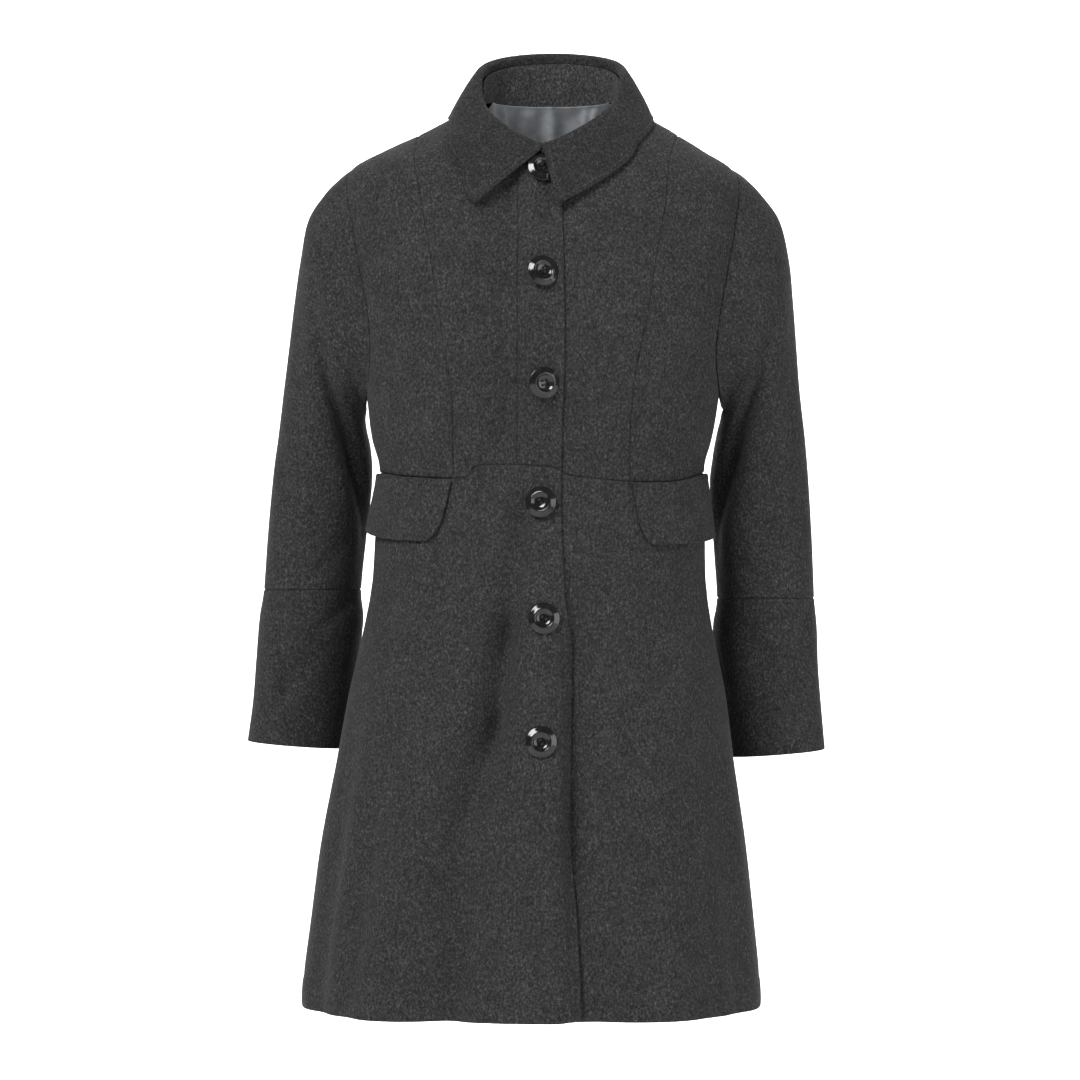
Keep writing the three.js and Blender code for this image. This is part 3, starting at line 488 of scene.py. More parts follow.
def sidePatch(side):
    seam, end = frontSeam(side), outerEdge("front")

    def start(v):
        x, z = seam(v)
        return side * angleAt(x, z), z
    topZ = [edge(np.zeros(1))[1][0] for edge in (start, end)]
    footAngle = start(np.ones(1))[0][0]

    def foot(u):
        angle = mix(footAngle, sideAngle, u)
        return angle, waistSeam(skin(side * angle, waist["z"], creased=False)[..., 0])
    onSkin = patch(foot, lambda u: (always(sideAngle)(u), mix(topZ[0], topZ[1], u)), start, end)

    def toAngle(u, v):
        angle, z = onSkin(u, v)
        return side * angle, z
    return toAngle


def backPatch():
    armhole = outerEdge("back")

    def edge(side):
        def at(v):
            angle, z = armhole(v)
            return skin(side * angle, z, creased=False)[..., 0], z
        return at

    def top(u):
        side = np.where(u < 0.5, left, right)
        off = np.minimum(u, 1 - u)
        z = mix(shoulder["outerZ"], shoulder["neckZ"], np.clip(off / shoulderShare, 0, 1))
        neck = neckSeam(side * mix(1, 2, np.clip((off - shoulderShare) / (0.5 - shoulderShare), 0, 1)))
        outside = off < shoulderShare
        return np.where(outside, shoulderX(side, z), neck[0]), np.where(outside, z, neck[1])
    ends = [edge(side)(np.ones(1))[0][0] for side in (left, right)]

    def foot(u):
        return mix(ends[0], ends[1], u), always(waist["sideZ"])(u)
    return facing(patch(foot, top, edge(left), edge(right), fade=5), behind=True)


def skirtPatch(startAngle, endAngle, topZ, hemZ):
    # between two side edges given as an angle at a height, from the waist seam to the hem
    def toAngle(u, v):
        waistLine = always(waist["z"])(u)
        topAngle = mix(startAngle(waistLine), endAngle(waistLine), u)
        x = skin(topAngle, waist["z"], creased=False)[..., 0]
        z = mix(topZ(x) - waist["gap"], hemZ(x), v)
        return mix(startAngle(z), endAngle(z), u), z
    return toAngle


def overEdgeAngle(z):
    return angleAt(overEdgeX(z), z)


def underEdgeAngle(z):
    return angleAt(lap["underEdgeX"], z)


def overHem(x):
    return hem["z"] + hem["cornerRise"] * ease(x / hem["cornerWidth"])


def hemRelief(u, v, away):
    # the turned-up hem shows as a faint dent where it is caught down, and a little fullness below
    line = np.exp(-(((away["foot"] - hem["turnUp"]) / hem["lineWidth"]) ** 2))
    full = ease((hem["turnUp"] - away["foot"]) / hem["fullnessFade"]) * ease(away["foot"] / hem["edgeFade"])
    return hem["fullness"] * full - hem["lineDepth"] * line


# Sleeves. round goes from the outer side, 0, by the front, 0.25, to the inner side, 0.5.
sleeveSizes = {"power": 2.15, "elbowRing": 11, "lastRing": 15, "fadeRings": 4, "armholeGap": 0.2,
               "underarmGap": 0.8, "underarmSpread": 0.3, "creaseHalfWidth": 0.035, "columns": 84,
               "columnEasing": 1.35, "ringLength": 44, "roundLength": 330}

# the left sleeve has the same soft creases, shallower and moved a little, and hangs lower
sleeveSides = {right: {"name": "right", "share": 1, "moveRound": 0, "moveAlong": 0, "drop": 0},
               left: {"name": "left", "share": 0.85, "moveRound": 5, "moveAlong": -9, "drop": 9}}
creaseColumn = 0.5 * (8 / 12) ** sleeveSizes["columnEasing"]
sleeveRings = tableOf(
    "at inX inY inZ outX outY outZ halfDepth lean",
    (0, 184, 2, -285, 199, -4, -41, 60, -1), (1, 185, 6, -287, 210, 0, -48, 62, 0),
    (2, 186, 10, -289, 227, 4, -65, 63, 0), (3, 187, 15, -291, 247, 8, -94, 64, 1),
    (4, 188, 21, -293, 257, 12, -136, 65, 2), (5, 188, 28, -297, 263, 18, -182, 65, 1),
    (6, 188, 36, -303, 268, 25, -228, 64, 0), (7, 186, 45, -314, 273, 32, -272, 63, -1),
    (8, 182, 55, -336, 279, 38, -318, 61, -1), (9, 180, 61, -368, 284, 43, -360, 59, -2),
    (10, 185, 63, -424, 289, 48, -420, 56, -3), (11, 190, 65, -483, 293, 52, -483, 54, -4),
    (12, 187, 70, -516, 297, 56, -514, 53, -5), (13, 192, 76, -562, 300, 62, -558, 51, -6),
    (14, 198, 82, -608, 304, 68, -603, 50, -6), (15, 203, 86, -654, 309, 72, -645, 50, -7))
deepCrease = tableOf(
    "at round depth", (3.6, 0.2, 0), (4.6, 0.22, 3), (6, 0.275, 9), (7, 0.325, 13), (8.4, 0.367, 13),
    (9.2, 0.4, 9), (10, 0.45, 3), (11, 0.42, 0), (15, 0.29, 0))

# soft creases of a sleeve, between points given by round and ring
sleeveCreases = tableOf(
    "round0 at0 round1 at1 width depth",
    (0.14, 11.6, 0.2, 13.6, 9, -3.2),
    (0.11, 8.8, 0.2, 10.7, 10, -3.0),
    (0.37, 10.1, 0.23, 10.8, 6, -2.2),
    (0.40, 11.25, 0.28, 12.3, 7, -2.6),
    (0.30, 12.6, 0.17, 14.0, 10, -2.0),
    (0.17, 1.0, 0.19, 4.6, 12, -2.2),
    (0.10, 4.6, 0.16, 7.4, 14, -2.4),
    (0.56, 9.0, 0.68, 9.9, 8, -3.2),
    (0.58, 10.0, 0.72, 10.6, 8, -2.6),
    (0.62, 4.0, 0.72, 7.5, 13, -3.4),
    (0.85, 10.6, 0.76, 12.0, 9, -2.6),
    (0.92, 5.0, 0.88, 8.0, 16, -2.2))


def sleeveRing(around, at):
    # a plain sleeve, before creases and before its top is drawn to the armhole
    ring = {name: readTable(sleeveRings, "at", name, at) for name in sleeveRings if name != "at"}
    c, s = np.cos(2 * np.pi * around), np.sin(2 * np.pi * around)
    power = sleeveSizes["power"]
    swell = (np.abs(c) ** power + np.abs(s) ** power) ** (-1 / power)
    t = (1 - c * swell) / 2
    return np.stack((mix(ring["outX"], ring["inX"], t),
                     mix(ring["outY"], ring["inY"], t) - ring["halfDepth"] * swell * s,
                     mix(ring["outZ"], ring["inZ"], t)), -1)


def armholePoint(side, around):
    rise = 1 - 2 * np.where(around <= 0.5, around, 1 - around)
    front, back, z = (readTable(armholeTable, "rise", name, rise) for name in ("front", "back", "z"))
    return skin(side * np.where(around <= 0.5, front, back), z)


def creaseRound(around, at):
    # bends the columns of the mesh so that one of them runs along the deep crease
    aim = mix(creaseColumn, readTable(deepCrease, "at", "round", at), ease((at - 1) / 3))
    inner = mix(aim, 0.5, (around - creaseColumn) / (0.5 - creaseColumn))
    return np.where(around < creaseColumn, around / creaseColumn * aim, np.where(around < 0.5, inner, around))


def sleeveShape(side, first, last):
    own, around, along = sleeveSides[side], sleeveSizes["roundLength"], sleeveSizes["ringLength"]
    creases = {"x0": sleeveCreases["round0"] * around, "z0": sleeveCreases["at0"] * along,
               "x1": sleeveCreases["round1"] * around, "z1": sleeveCreases["at1"] * along,
               "width": sleeveCreases["width"], "depth": sleeveCreases["depth"] * own["share"]}

    def shape(u, v):
        at = mix(first, last, v)
        share = u - np.floor(u)
        turn = creaseRound(share, at)
        point = sleeveRing(turn, at)
        middle = (sleeveRing(0 * at, at) + sleeveRing(0 * at + 0.5, at)) / 2
        offCrease = (turn - readTable(deepCrease, "at", "round", at)) / sleeveSizes["creaseHalfWidth"]
        deep = readTable(deepCrease, "at", "depth", at) * np.exp(-(offCrease**2))
        shallow = -creaseDepth(creases, turn * around + own["moveRound"], at * along + own["moveAlong"])
        point = point + unit(middle - point) * (np.maximum(0, deep) + shallow * ease(at / 2))[..., None]
        point[..., 0] = side * point[..., 0] + readTable(sleeveRings, "at", "lean", at)
        point[..., 2] -= own["drop"] * ease((at - 5) / 5)
        stay = (1 - ease(at / sleeveSizes["fadeRings"]))[..., None]
        start = sleeveRing(turn, 0 * at)
        start[..., 0] = side * start[..., 0] + sleeveRings["lean"][0]
        point = point + stay * (armholePoint(side, share) - start)
        low = ease(1 - np.abs(share - 0.5) / sleeveSizes["underarmSpread"])
        point[..., 0] += side * stay[..., 0] * mix(sleeveSizes["armholeGap"], sleeveSizes["underarmGap"], low)
        return point
    return shape


# Collar: a stand on the neck seam and a fall that rolls over it.
collar = {"halfWidth": 77, "front": 72, "back": 60, "frontZ": -22, "rise": 110, "centre": 11.5,
          "frontEasing": 0.67, "backEasing": 0.43, "radius": 5, "innerDrop": 3, "outerDrop": 4, "spring": 1.5,
          "seamDrop": 12, "seamFrontDrop": 7, "endShare": 0.0004, "proud": 5.2, "lapShare": 0.2,
          "tipShare": 0.06, "tipRise": 3.5, "standInset": 4.9, "standGap": 0.5, "ripple": 0.9, "ripples": 17,
          "rippleShift": 1.2, "stitchIn": 5.8, "stitchDent": 0.7, "dentWidth": 1.5, "stitchFrom": 0.34,
          "stitchFade": 0.06}
collarEdge = tableOf(
    "share angle z",
    (0, -17, -87), (0.06, -20.1, -72), (0.12, -23.4, -44), (0.18, -42, -12), (0.25, -67, 8), (0.31, -92, 12),
    (0.4, -135, 9), (0.5, -180, 8), (0.6, -225, 9), (0.69, -268, 12), (0.75, -291, 8), (0.82, -320.3, -13),
    (0.88, -334, -37), (0.94, -345.7, -64), (1, -356.8, -88))


def rollPoint(share):
    # top of the roll, by its share of the way round from the wearer's right end
    turn = 2 * np.pi * share
    c = np.cos(turn)
    easing = mix(collar["frontEasing"], collar["backEasing"], ease((0.5 - c) / 0.6))
    return np.stack((
        collar["centre"] * (1 - ((1 + c) / 2) ** 2) - collar["halfWidth"] * np.sin(turn),
        (collar["back"] - collar["front"]) / 2 - (collar["back"] + collar["front"]) / 2 * c,
        collar["frontZ"] + collar["rise"] * ((1 - c) / 2) ** easing), -1)


def rollOutward(share):
    turn = 2 * np.pi * share
    return unit(np.stack((-np.sin(turn) / collar["halfWidth"], -np.cos(turn) / collar["back"], 0 * turn), -1))


def rollSeam(share):
    seam = rollPoint(share) - collar["radius"] * rollOutward(share)
    seam[..., 2] -= mix(collar["seamFrontDrop"], collar["seamDrop"], np.sin(np.pi * share))
    return seam


def alongCollar(u):
    return mix(collar["endShare"], 1 - collar["endShare"], u)


def curveThrough(points, t):
    # centripetal curve through the points, read at t from 0 to 1
    points = [2 * points[0] - points[1], *points, 2 * points[-1] - points[-2]]
    spans = len(points) - 3
    place = np.clip(t * spans, 0, spans - 1e-9)
    i = np.floor(place).astype(int)
    w = (place - i)[..., None]
    stack = np.stack(points)
    p = [np.take_along_axis(stack, (i + k)[None, ..., None], 0)[0] for k in range(4)]
    gap = [np.maximum(np.linalg.norm(p[k + 1] - p[k], axis=-1, keepdims=True) ** 0.5, 1e-4) for k in range(3)]
    slope1 = ((p[1] - p[0]) / gap[0] - (p[2] - p[0]) / (gap[0] + gap[1]) + (p[2] - p[1]) / gap[1]) * gap[1]
    slope2 = ((p[2] - p[1]) / gap[1] - (p[3] - p[1]) / (gap[1] + gap[2]) + (p[3] - p[2]) / gap[2]) * gap[1]
    return (p[1] + slope1 * w + (-3 * p[1] + 3 * p[2] - 2 * slope1 - slope2) * w**2
            + (2 * p[1] - 2 * p[2] + slope1 + slope2) * w**3)


def collarFall(u, v):
    share = alongCollar(u)
    top, out = rollPoint(share), rollOutward(share)
    upward = np.array((0.0, 0.0, 1.0))
    off = np.minimum(share, 1 - share)
    proud = (collar["proud"] + lap["lift"] * ease(1 - off / collar["lapShare"])
             + collar["tipRise"] * ease(1 - off / collar["tipShare"]))
    angle, z = (readTable(collarEdge, "share", name, u) for name in ("angle", "z"))
    edge = skin(angle, z, proud, creased=False)
    inner = top - out * collar["radius"] - collar["innerDrop"] * upward
    outer = top + out * collar["radius"] - collar["outerDrop"] * upward
    middle = (outer + edge) / 2 + out * collar["spring"]
    return curveThrough([rollSeam(share), inner, top + upward, outer, middle, edge], v)


def collarStand(u, v):
    share = alongCollar(u)
    turn = 4 * np.minimum(share, 1 - share)
    angle = np.where(share < 0.5, right, left) * readTable(neckSeamTable, "turn", "angle", turn)
    footZ = readTable(neckSeamTable, "turn", "z", turn) + collar["standGap"]
    foot = skin(angle, footZ, creased=False) - collar["standInset"] * rollOutward(share)
    ripple = collar["ripple"] * np.sin(collar["ripples"] * share * np.pi + collar["rippleShift"])
    ripple = ripple * np.sin(np.pi * v) * np.sin(np.pi * share) ** 2    # none at the edges
    return mix(rollSeam(share), foot, v[..., None]) + ripple[..., None] * rollOutward(share)


def collarRelief(u, v, away):
    # the row of topstitching draws the fall in a little
    near = np.minimum(np.minimum(away["start"], away["end"]), away["foot"])
    dent = collar["stitchDent"] * np.exp(-(((near - collar["stitchIn"]) / collar["dentWidth"]) ** 2))
    return -dent * ease((v - collar["stitchFrom"]) / collar["stitchFade"])


# Pocket flaps, sewn in the waist seam.
flapSizes = {"outerAngle": 92, "topDrop": 1, "gap": 1.8, "slant": 3.5, "corner": 4.5, "stand": 8}
flaps = {"right": {"side": right, "innerTop": 31, "footZ": -432, "footRise": 11},
         "left": {"side": left, "innerTop": 31, "footZ": -436, "footRise": 9}}


def flapPiece(flap):
    def toAngle(u, v):
        inner = flap["innerTop"] + flapSizes["slant"] * v + flapSizes["corner"] * v**6
        angle = flap["side"] * mix(inner, flapSizes["outerAngle"], u)
        topZ = waistSeam(skin(angle, waist["z"], creased=False)[..., 0]) - flapSizes["topDrop"]
        return angle, mix(topZ, flap["footZ"] + flap["footRise"] * np.abs(u) ** 1.5, v)
    flat, inward = skinPiece(toAngle)

    def shape(u, v):
        off = cloth["wall"] + flapSizes["gap"] + flapSizes["stand"] * v * u * u
        return flat(u, v) - inward(u, v) * off[..., None]
    return shape, inward


# Satin behind the neck, a half-moon with an ease pleat.
liningSizes = {"wall": 1.0, "step": 2.4, "inset": 5.4, "topInset": 7.8, "insetShare": 0.5, "turn": 1.0,
               "topDrop": -1.6, "endDrop": 6, "endShare": 0.09, "footZ": -120, "footHalfWidth": 100,
               "levelShare": 0.3, "pleatX": 10, "pleatSpread": 5, "pleatDepth": 3.4, "creaseRise": 14}
liningCreases = tableOf(
    "x0 z0 x1 z1 width depth",
    (-50, 34, -34, -60, 5, 5.5),
    (-62, 28, -48, -40, 4.5, 4.5),
    (-20, 34, -16, -60, 12, 3.0),
    (30, 34, 24, -60, 13, -2.2),
    (62, 30, 50, -40, 4.5, 6.0),
    (50, 30, 42, -40, 5, 3.5),
    (16, 30, 14, -60, 5, 2.0),
    (-3, 26, 0, -60, 5, -1.5))


def liningPiece():
    def top(u):
        side = np.where(u < 0.5, left, right)
        off = np.minimum(u, 1 - u)
        x, z = neckSeam(side * mix(liningSizes["turn"], 2, 2 * off))
        endDrop = liningSizes["endDrop"] * (1 - ease(off / liningSizes["endShare"]))
        return x, z - liningSizes["topDrop"] - endDrop

    def foot(u):
        footZ = liningSizes["footZ"]
        return section("centre", footZ) + mix(1, -1, u) * liningSizes["footHalfWidth"], always(footZ)(u)

    def side(u):
        ends = [np.array(edge(np.array(float(u)))) for edge in (top, foot)]
        return lambda v: (mix(ends[0][0], ends[1][0], v), mix(ends[0][1], ends[1][1], v))
    onBack = patch(foot, top, side(0), side(1))
    toAngle = facing(onBack, behind=True)

    def inward(u, v):
        # level at the top, where the lining is sewn to the foot of the stand
        into = skinInward(*toAngle(u, v))
        into[..., 2] *= ease(v / liningSizes["levelShare"])
        return unit(into)

    def shape(u, v):
        x, z = onBack(u, v)
        offPleat = (x - liningSizes["pleatX"]) / liningSizes["pleatSpread"]
        pleat = liningSizes["pleatDepth"] * np.exp(-(offPleat**2))
        loose = creaseDepth(liningCreases, x, z) * ease(v * liningSizes["creaseRise"]) * (1 - v)
        inset = mix(liningSizes["topInset"], liningSizes["inset"], ease(v / liningSizes["insetShare"]))
        depth = inset + pleat * (1 - v) + loose
        return skin(*toAngle(u, v), creased=False) + inward(u, v) * depth[..., None]
    return shape, inward


# Buttons: polished, with a rolled rim, a dish and four holes.
button = {"holeDiameter": 2.6, "holeSpread": 3.1, "holes": 4, "holeSides": 20, "drillLength": 20,
          "segments": 72, "sharpAngle": 38, "gap": 0.3}

# two bars of thread, each of three strands that run level and then dip into the holes
buttonThread = {"diameter": 0.75, "reach": 2.19, "strands": (-0.45, 0, 0.45), "height": 2.35, "dip": 2.2,
                "levelShare": 0.6, "dipPower": 1.2}
buttonProfile = tableOf(
    "r h", (0.01, 0.35), (9, 0.2), (13.2, 0.35), (15.2, 0.7), (15.95, 1.25), (15.85, 1.8), (15.3, 2.2),
    (14.4, 2.65), (13.0, 3.4), (11.6, 4.12), (10.6, 4.58), (9.8, 4.7), (9.1, 4.45), (8.4, 3.85),
    (7.7, 3.2), (6.8, 2.6), (5.6, 2.1), (4.2, 1.75), (2.5, 1.62), (0.01, 1.6))
buttonPlaces = tableOf(
    "z x turn seat", (-48, 0, 20, 0), (-157, 0, 48, 0), (-271, 1, 10, 0), (-392, -2, 35, 1.2), (-510, 1, 62, 0),
    (-634, -2, 27, 0))


def buttonMesh():
    knots = np.stack((buttonProfile["r"], buttonProfile["h"]), -1)
    t = np.linspace(0, 1, 3 * (len(knots) - 1) + 1)
    line = curveThrough([np.broadcast_to(k, (len(t), 2)) for k in knots], t)
    turns = np.arange(button["segments"]) * 2 * np.pi / button["segments"]
    radius, height = line[:, None, 0], line[:, None, 1]
    ring = np.stack((radius * np.cos(turns), radius * np.sin(turns), height + 0 * turns), -1)
    disc = meshObject("buttonDisc", ring.reshape(-1, 3), tubeFaces(len(t), len(turns)))
    drills = []
    for i in range(button["holes"]):
        turn = (i + 0.5) * 2 * np.pi / button["holes"]
        place = np.array((math.cos(turn), math.sin(turn), 0)) * button["holeSpread"]
        bpy.ops.mesh.primitive_cylinder_add(
            vertices=button["holeSides"], radius=button["holeDiameter"] / 2 * mm,
            depth=button["drillLength"] * mm, location=place * mm)
        drill = bpy.context.object
        cut = disc.modifiers.new("hole", "BOOLEAN")
        cut.object, cut.operation, cut.solver = drill, "DIFFERENCE", "EXACT"
        drills.append(drill)
    done = bpy.data.meshes.new_from_object(disc.evaluated_get(bpy.context.evaluated_depsgraph_get()))
    for item in (disc, *drills):
        bpy.data.objects.remove(item)
    done.shade_smooth()
    done.set_sharp_from_angle(angle=math.radians(button["sharpAngle"]))
    return done


def tubes(name, paths, radius, sides=6):
    # one mesh of closed tubes, each along its own line of points
    points, faces = [], []
    turns = np.arange(sides) * 2 * np.pi / sides
    for path in paths:
        path = np.asarray(path, float)
        along = unit(np.gradient(path, axis=0))
        aside = unit(np.cross(along, (0.31, 0.17, 0.93)))    # a direction that no path takes
        other = np.cross(along, aside)
        ends = np.ones(len(path))
        ends[0] = ends[-1] = 0.35
        ring = path[:, None] + radius * ends[:, None, None] * (
            aside[:, None] * np.cos(turns)[:, None] + other[:, None] * np.sin(turns)[:, None])
        faces += tubeFaces(len(path), sides, len(points) * len(path) * sides)
        points.append(ring.reshape(-1, 3))
    return meshObject(name, np.concatenate(points), faces)


# Topstitching: single stitches that sit in a dent of the cloth.
stitch = {"pitch": 3.4, "length": 2.5, "radius": 0.28, "sink": 0.5, "shares": (0, 0.18, 0.5, 0.82, 1),
          "rise": (-0.45, 0.02, 0.14, 0.02, -0.45)}


def stitchesAlong(name, line, outward):
    gaps = np.linalg.norm(np.diff(line, axis=0), axis=1)
    along = np.concatenate(([0], np.cumsum(gaps)))
    starts = np.arange(stitch["pitch"] / 2, along[-1] - stitch["length"], stitch["pitch"])
    paths = []
    for start in starts:
        at = start + np.array(stitch["shares"]) * stitch["length"]
        place = np.stack([np.interp(at, along, line[:, k]) for k in range(3)], -1)
        up = unit(np.stack([np.interp(at, along, outward[:, k]) for k in range(3)], -1))
        paths.append(place + up * (np.array(stitch["rise"]) - stitch["sink"])[:, None])
    return tubes(name, paths, stitch["radius"])


def insetLine(form, inset, fromV):
    # line on a piece that keeps one distance from its two ends and its foot
    shape, inward = form
    us, vs = np.linspace(0, 1, 301), np.linspace(fromV, 1, 261)
    away = edgeDistances(shape(*np.meshgrid(us, vs)))
    pairs = [[(float(np.interp(inset, away["start"][i], us)), v) for i, v in enumerate(vs)],
             [(u, float(np.interp(inset, away["foot"][::-1, j], vs[::-1]))) for j, u in enumerate(us)],
             [(float(np.interp(-inset, -away["end"][i], us)), v) for i, v in enumerate(vs)][::-1]]
    foot = {name: [np.interp(p[0], us, away[name][-1]) for p in pairs[1]] for name in ("start", "end")}
    low = [[p for p in pairs[k] if p[1] < np.interp(p[0], us, [q[1] for q in pairs[1]])] for k in (0, 2)]
    middle = [p for p, a, b in zip(pairs[1], foot["start"], foot["end"]) if a > inset and b > inset]
    u, v = (np.array(column) for column in zip(*(low[0] + middle + low[1])))
    return shape(u, v), -inward(u, v)


# Materials
def linear(hexColor):
    parts = [int(hexColor[i:i + 2], 16) / 255 for i in (1, 3, 5)]
    rgb = [p / 12.92 if p <= 0.04045 else ((p + 0.055) / 1.055) ** 2.4 for p in parts]
    return *rgb, 1.0


def addNode(tree, kind, settings=None, links=None):
    node = tree.nodes.new(kind)
    for name, value in (settings or {}).items():
        if name in node.inputs and not hasattr(node, name):
            node.inputs[name].default_value = value
        else:
            setattr(node, name, value)
    for name, socket in (links or {}).items():
        tree.links.new(socket, node.inputs[name])
    return node


def newMaterial(name, settings):
    # a material with the settings of its surface, and the place on the piece that its patterns follow
    material = bpy.data.materials.new(name)
    material.use_nodes = True
    tree = material.node_tree
    tree.nodes.clear()
    shader = addNode(tree, "ShaderNodeBsdfPrincipled", settings)
    addNode(tree, "ShaderNodeOutputMaterial", None, {"Surface": shader.outputs["BSDF"]})
    return material, tree, shader, addNode(tree, "ShaderNodeTexCoord").outputs["Object"]


def paint(tree, shader, pattern, stops):
    # colours the surface by a pattern, from dark stops to pale ones
    ramp = addNode(tree, "ShaderNodeValToRGB", None, {"Fac": pattern})
    first, last = ramp.color_ramp.elements
    first.position, first.color = stops[0][0], linear(stops[0][1])
    last.position, last.color = stops[-1][0], linear(stops[-1][1])
    for place, color in stops[1:-1]:
        ramp.color_ramp.elements.new(place).color = linear(color)
    tree.links.new(ramp.outputs["Color"], shader.inputs["Base Color"])
    return ramp.outputs["Color"]


def emboss(tree, shader, pattern, strength, depth):
    # raises the surface by a pattern, depth in mm
    bump = addNode(tree, "ShaderNodeBump", {"Strength": strength, "Distance": depth * mm}, {"Height": pattern})
    tree.links.new(bump.outputs["Normal"], shader.inputs["Normal"])


# Melton is milled and brushed wool: no weave shows, only dark and pale fibres felted together.
# The fibre mixture is far finer than a pixel, so it is drawn at the size of the tufts that show.
wool = {"tuft": 2.1, "fibre": 0.8, "blotch": 26, "stretch": 0.72, "dark": "#101010", "middle": "#252525",
        "pale": "#3d3d3d", "fleck": "#646464", "sheen": "#8a8a8a", "bumpDepth": 0.5}


def meltonWool(name="meltonWool", shade=1.0):
    # the sheen is the brushed nap, which catches light at the edges
    material, tree, shader, place = newMaterial(name, {
        "Roughness": 0.95, "Specular IOR Level": 0.15, "Sheen Weight": 0.1, "Sheen Roughness": 0.55,
        "Sheen Tint": linear(wool["sheen"])})
    drawn = addNode(tree, "ShaderNodeMapping", {"Scale": (1, 1, wool["stretch"])}, {"Vector": place})
    noises = {}
    for size, detail, roughness, space in (("tuft", 3.0, 0.62, drawn.outputs["Vector"]),
                                           ("fibre", 2.0, 0.6, drawn.outputs["Vector"]),
                                           ("blotch", 2.0, 0.5, place)):
        noise = {"Scale": 1000 / wool[size], "Detail": detail, "Roughness": roughness}
        noises[size] = addNode(tree, "ShaderNodeTexNoise", noise, {"Vector": space}).outputs["Fac"]
    grain = addNode(tree, "ShaderNodeMix", {"data_type": "FLOAT", "Factor": 0.35},
                    {2: noises["tuft"], 3: noises["fibre"]}).outputs[0]
    color = paint(tree, shader, grain, [(0.34, wool["dark"]), (0.49, wool["middle"]), (0.62, wool["pale"]),
                                        (0.74, wool["fleck"])])
    # shade scales the value of the whole cloth: below 1 it is painted shade, above 1 painted light
    value = addNode(tree, "ShaderNodeMapRange",
                    {"From Min": 0.3, "From Max": 0.7, "To Min": 0.9 * shade, "To Max": 1.1 * shade},
                    {"Value": noises["blotch"]})
    toned = addNode(tree, "ShaderNodeHueSaturation", None, {"Color": color, "Value": value.outputs["Result"]})
    tree.links.new(toned.outputs["Color"], shader.inputs["Base Color"])
    emboss(tree, shader, grain, 0.85, wool["bumpDepth"])
    return material


# Satin weave of filament yarn: smooth, so folds carry soft streaks of light.
satin = {"color": "#969a9e", "shade": "#83868a", "yarn": 0.5, "cloud": 12}


def satinLining():
    material, tree, shader, place = newMaterial(
        "satinLining", {"Roughness": 0.36, "Anisotropic": 0.4, "Sheen Weight": 0.25})
    yarn = addNode(tree, "ShaderNodeTexWave", {"wave_type": "BANDS", "bands_direction": "X",
                                               "Scale": 1000 / satin["yarn"] / 6.28, "Distortion": 1.5},
                   {"Vector": place})
    cloud = addNode(tree, "ShaderNodeTexNoise", {"Scale": 1000 / satin["cloud"], "Detail": 2.0},
                    {"Vector": place})
    paint(tree, shader, cloud.outputs["Fac"], [(0.35, satin["shade"]), (0.65, satin["color"])])
    emboss(tree, shader, yarn.outputs["Fac"], 0.25, 0.05)
    return material


# Polyester buttons are turned and tumble-polished: near black, glossy, with faint scuffs.
polish = {"color": "#0b0b0c", "pale": "#151516", "cloud": 5}


def polyesterButton():
    material, tree, shader, place = newMaterial("polyesterButton", {"IOR": 1.5})
    cloud = addNode(tree, "ShaderNodeTexNoise", {"Scale": 1000 / polish["cloud"], "Detail": 3.0},
                    {"Vector": place})
    paint(tree, shader, cloud.outputs["Fac"], [(0.4, polish["color"]), (0.7, polish["pale"])])
    scuff = addNode(tree, "ShaderNodeMapRange",
                    {"From Min": 0.35, "From Max": 0.7, "To Min": 0.09, "To Max": 0.17},
                    {"Value": cloud.outputs["Fac"]})
    tree.links.new(scuff.outputs["Result"], shader.inputs["Roughness"])
    return material


# Spun polyester sewing thread: two plies twisted, a touch glossier than the wool.
def sewingThread(name="sewingThread", dark="#29292b", pale="#48484a", ply=0.6):
    material, tree, shader, place = newMaterial(name, {"Roughness": 0.6})
    twist = addNode(tree, "ShaderNodeTexNoise", {"Scale": 1000 / ply, "Detail": 1.0}, {"Vector": place})
    paint(tree, shader, twist.outputs["Fac"], [(0.4, dark), (0.6, pale)])
    emboss(tree, shader, twist.outputs["Fac"], 0.5, 0.1)
    return material


# the fall is a copy of the wool with painted shade, darker all over; the stand is a copy with painted light,
# paler all over
materials = {
    "wool": meltonWool(),
    "collarWoolPaintedShade": meltonWool("meltonWoolPaintedShade", 0.8),
    "standWoolPaintedLight": meltonWool("meltonWoolPaintedLight", 1.4),
    "satin": satinLining(),
    "button": polyesterButton(),
    "thread": sewingThread(),
    "buttonThread": sewingThread("buttonThread", "#0c0c0d", "#1a1a1b")}
print("materials made")


def dress(item, node, material):
    item.data.materials.clear()
    item.data.materials.append(materials[material])
    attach(item, "root")
    if node:
        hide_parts(node)


def clothPiece(name, node, form, size, edges, relief=None, material="wool", wall=cloth["wall"],
               step=cloth["step"], shares=None):
    # size in mm spaces the mesh; edges says how the start, end, top and foot of the piece are made,
    # and of a tube only the top and foot
    kinds = edges.split()
    edges = dict(zip(("start", "end", "top", "foot")[-len(kinds):], kinds))
    us = spacedShares(size[0], step) if shares is None else shares
    item = clothWall(name, *form, us, spacedShares(size[1], step), edges, wall, relief)
    dress(item, node, material)


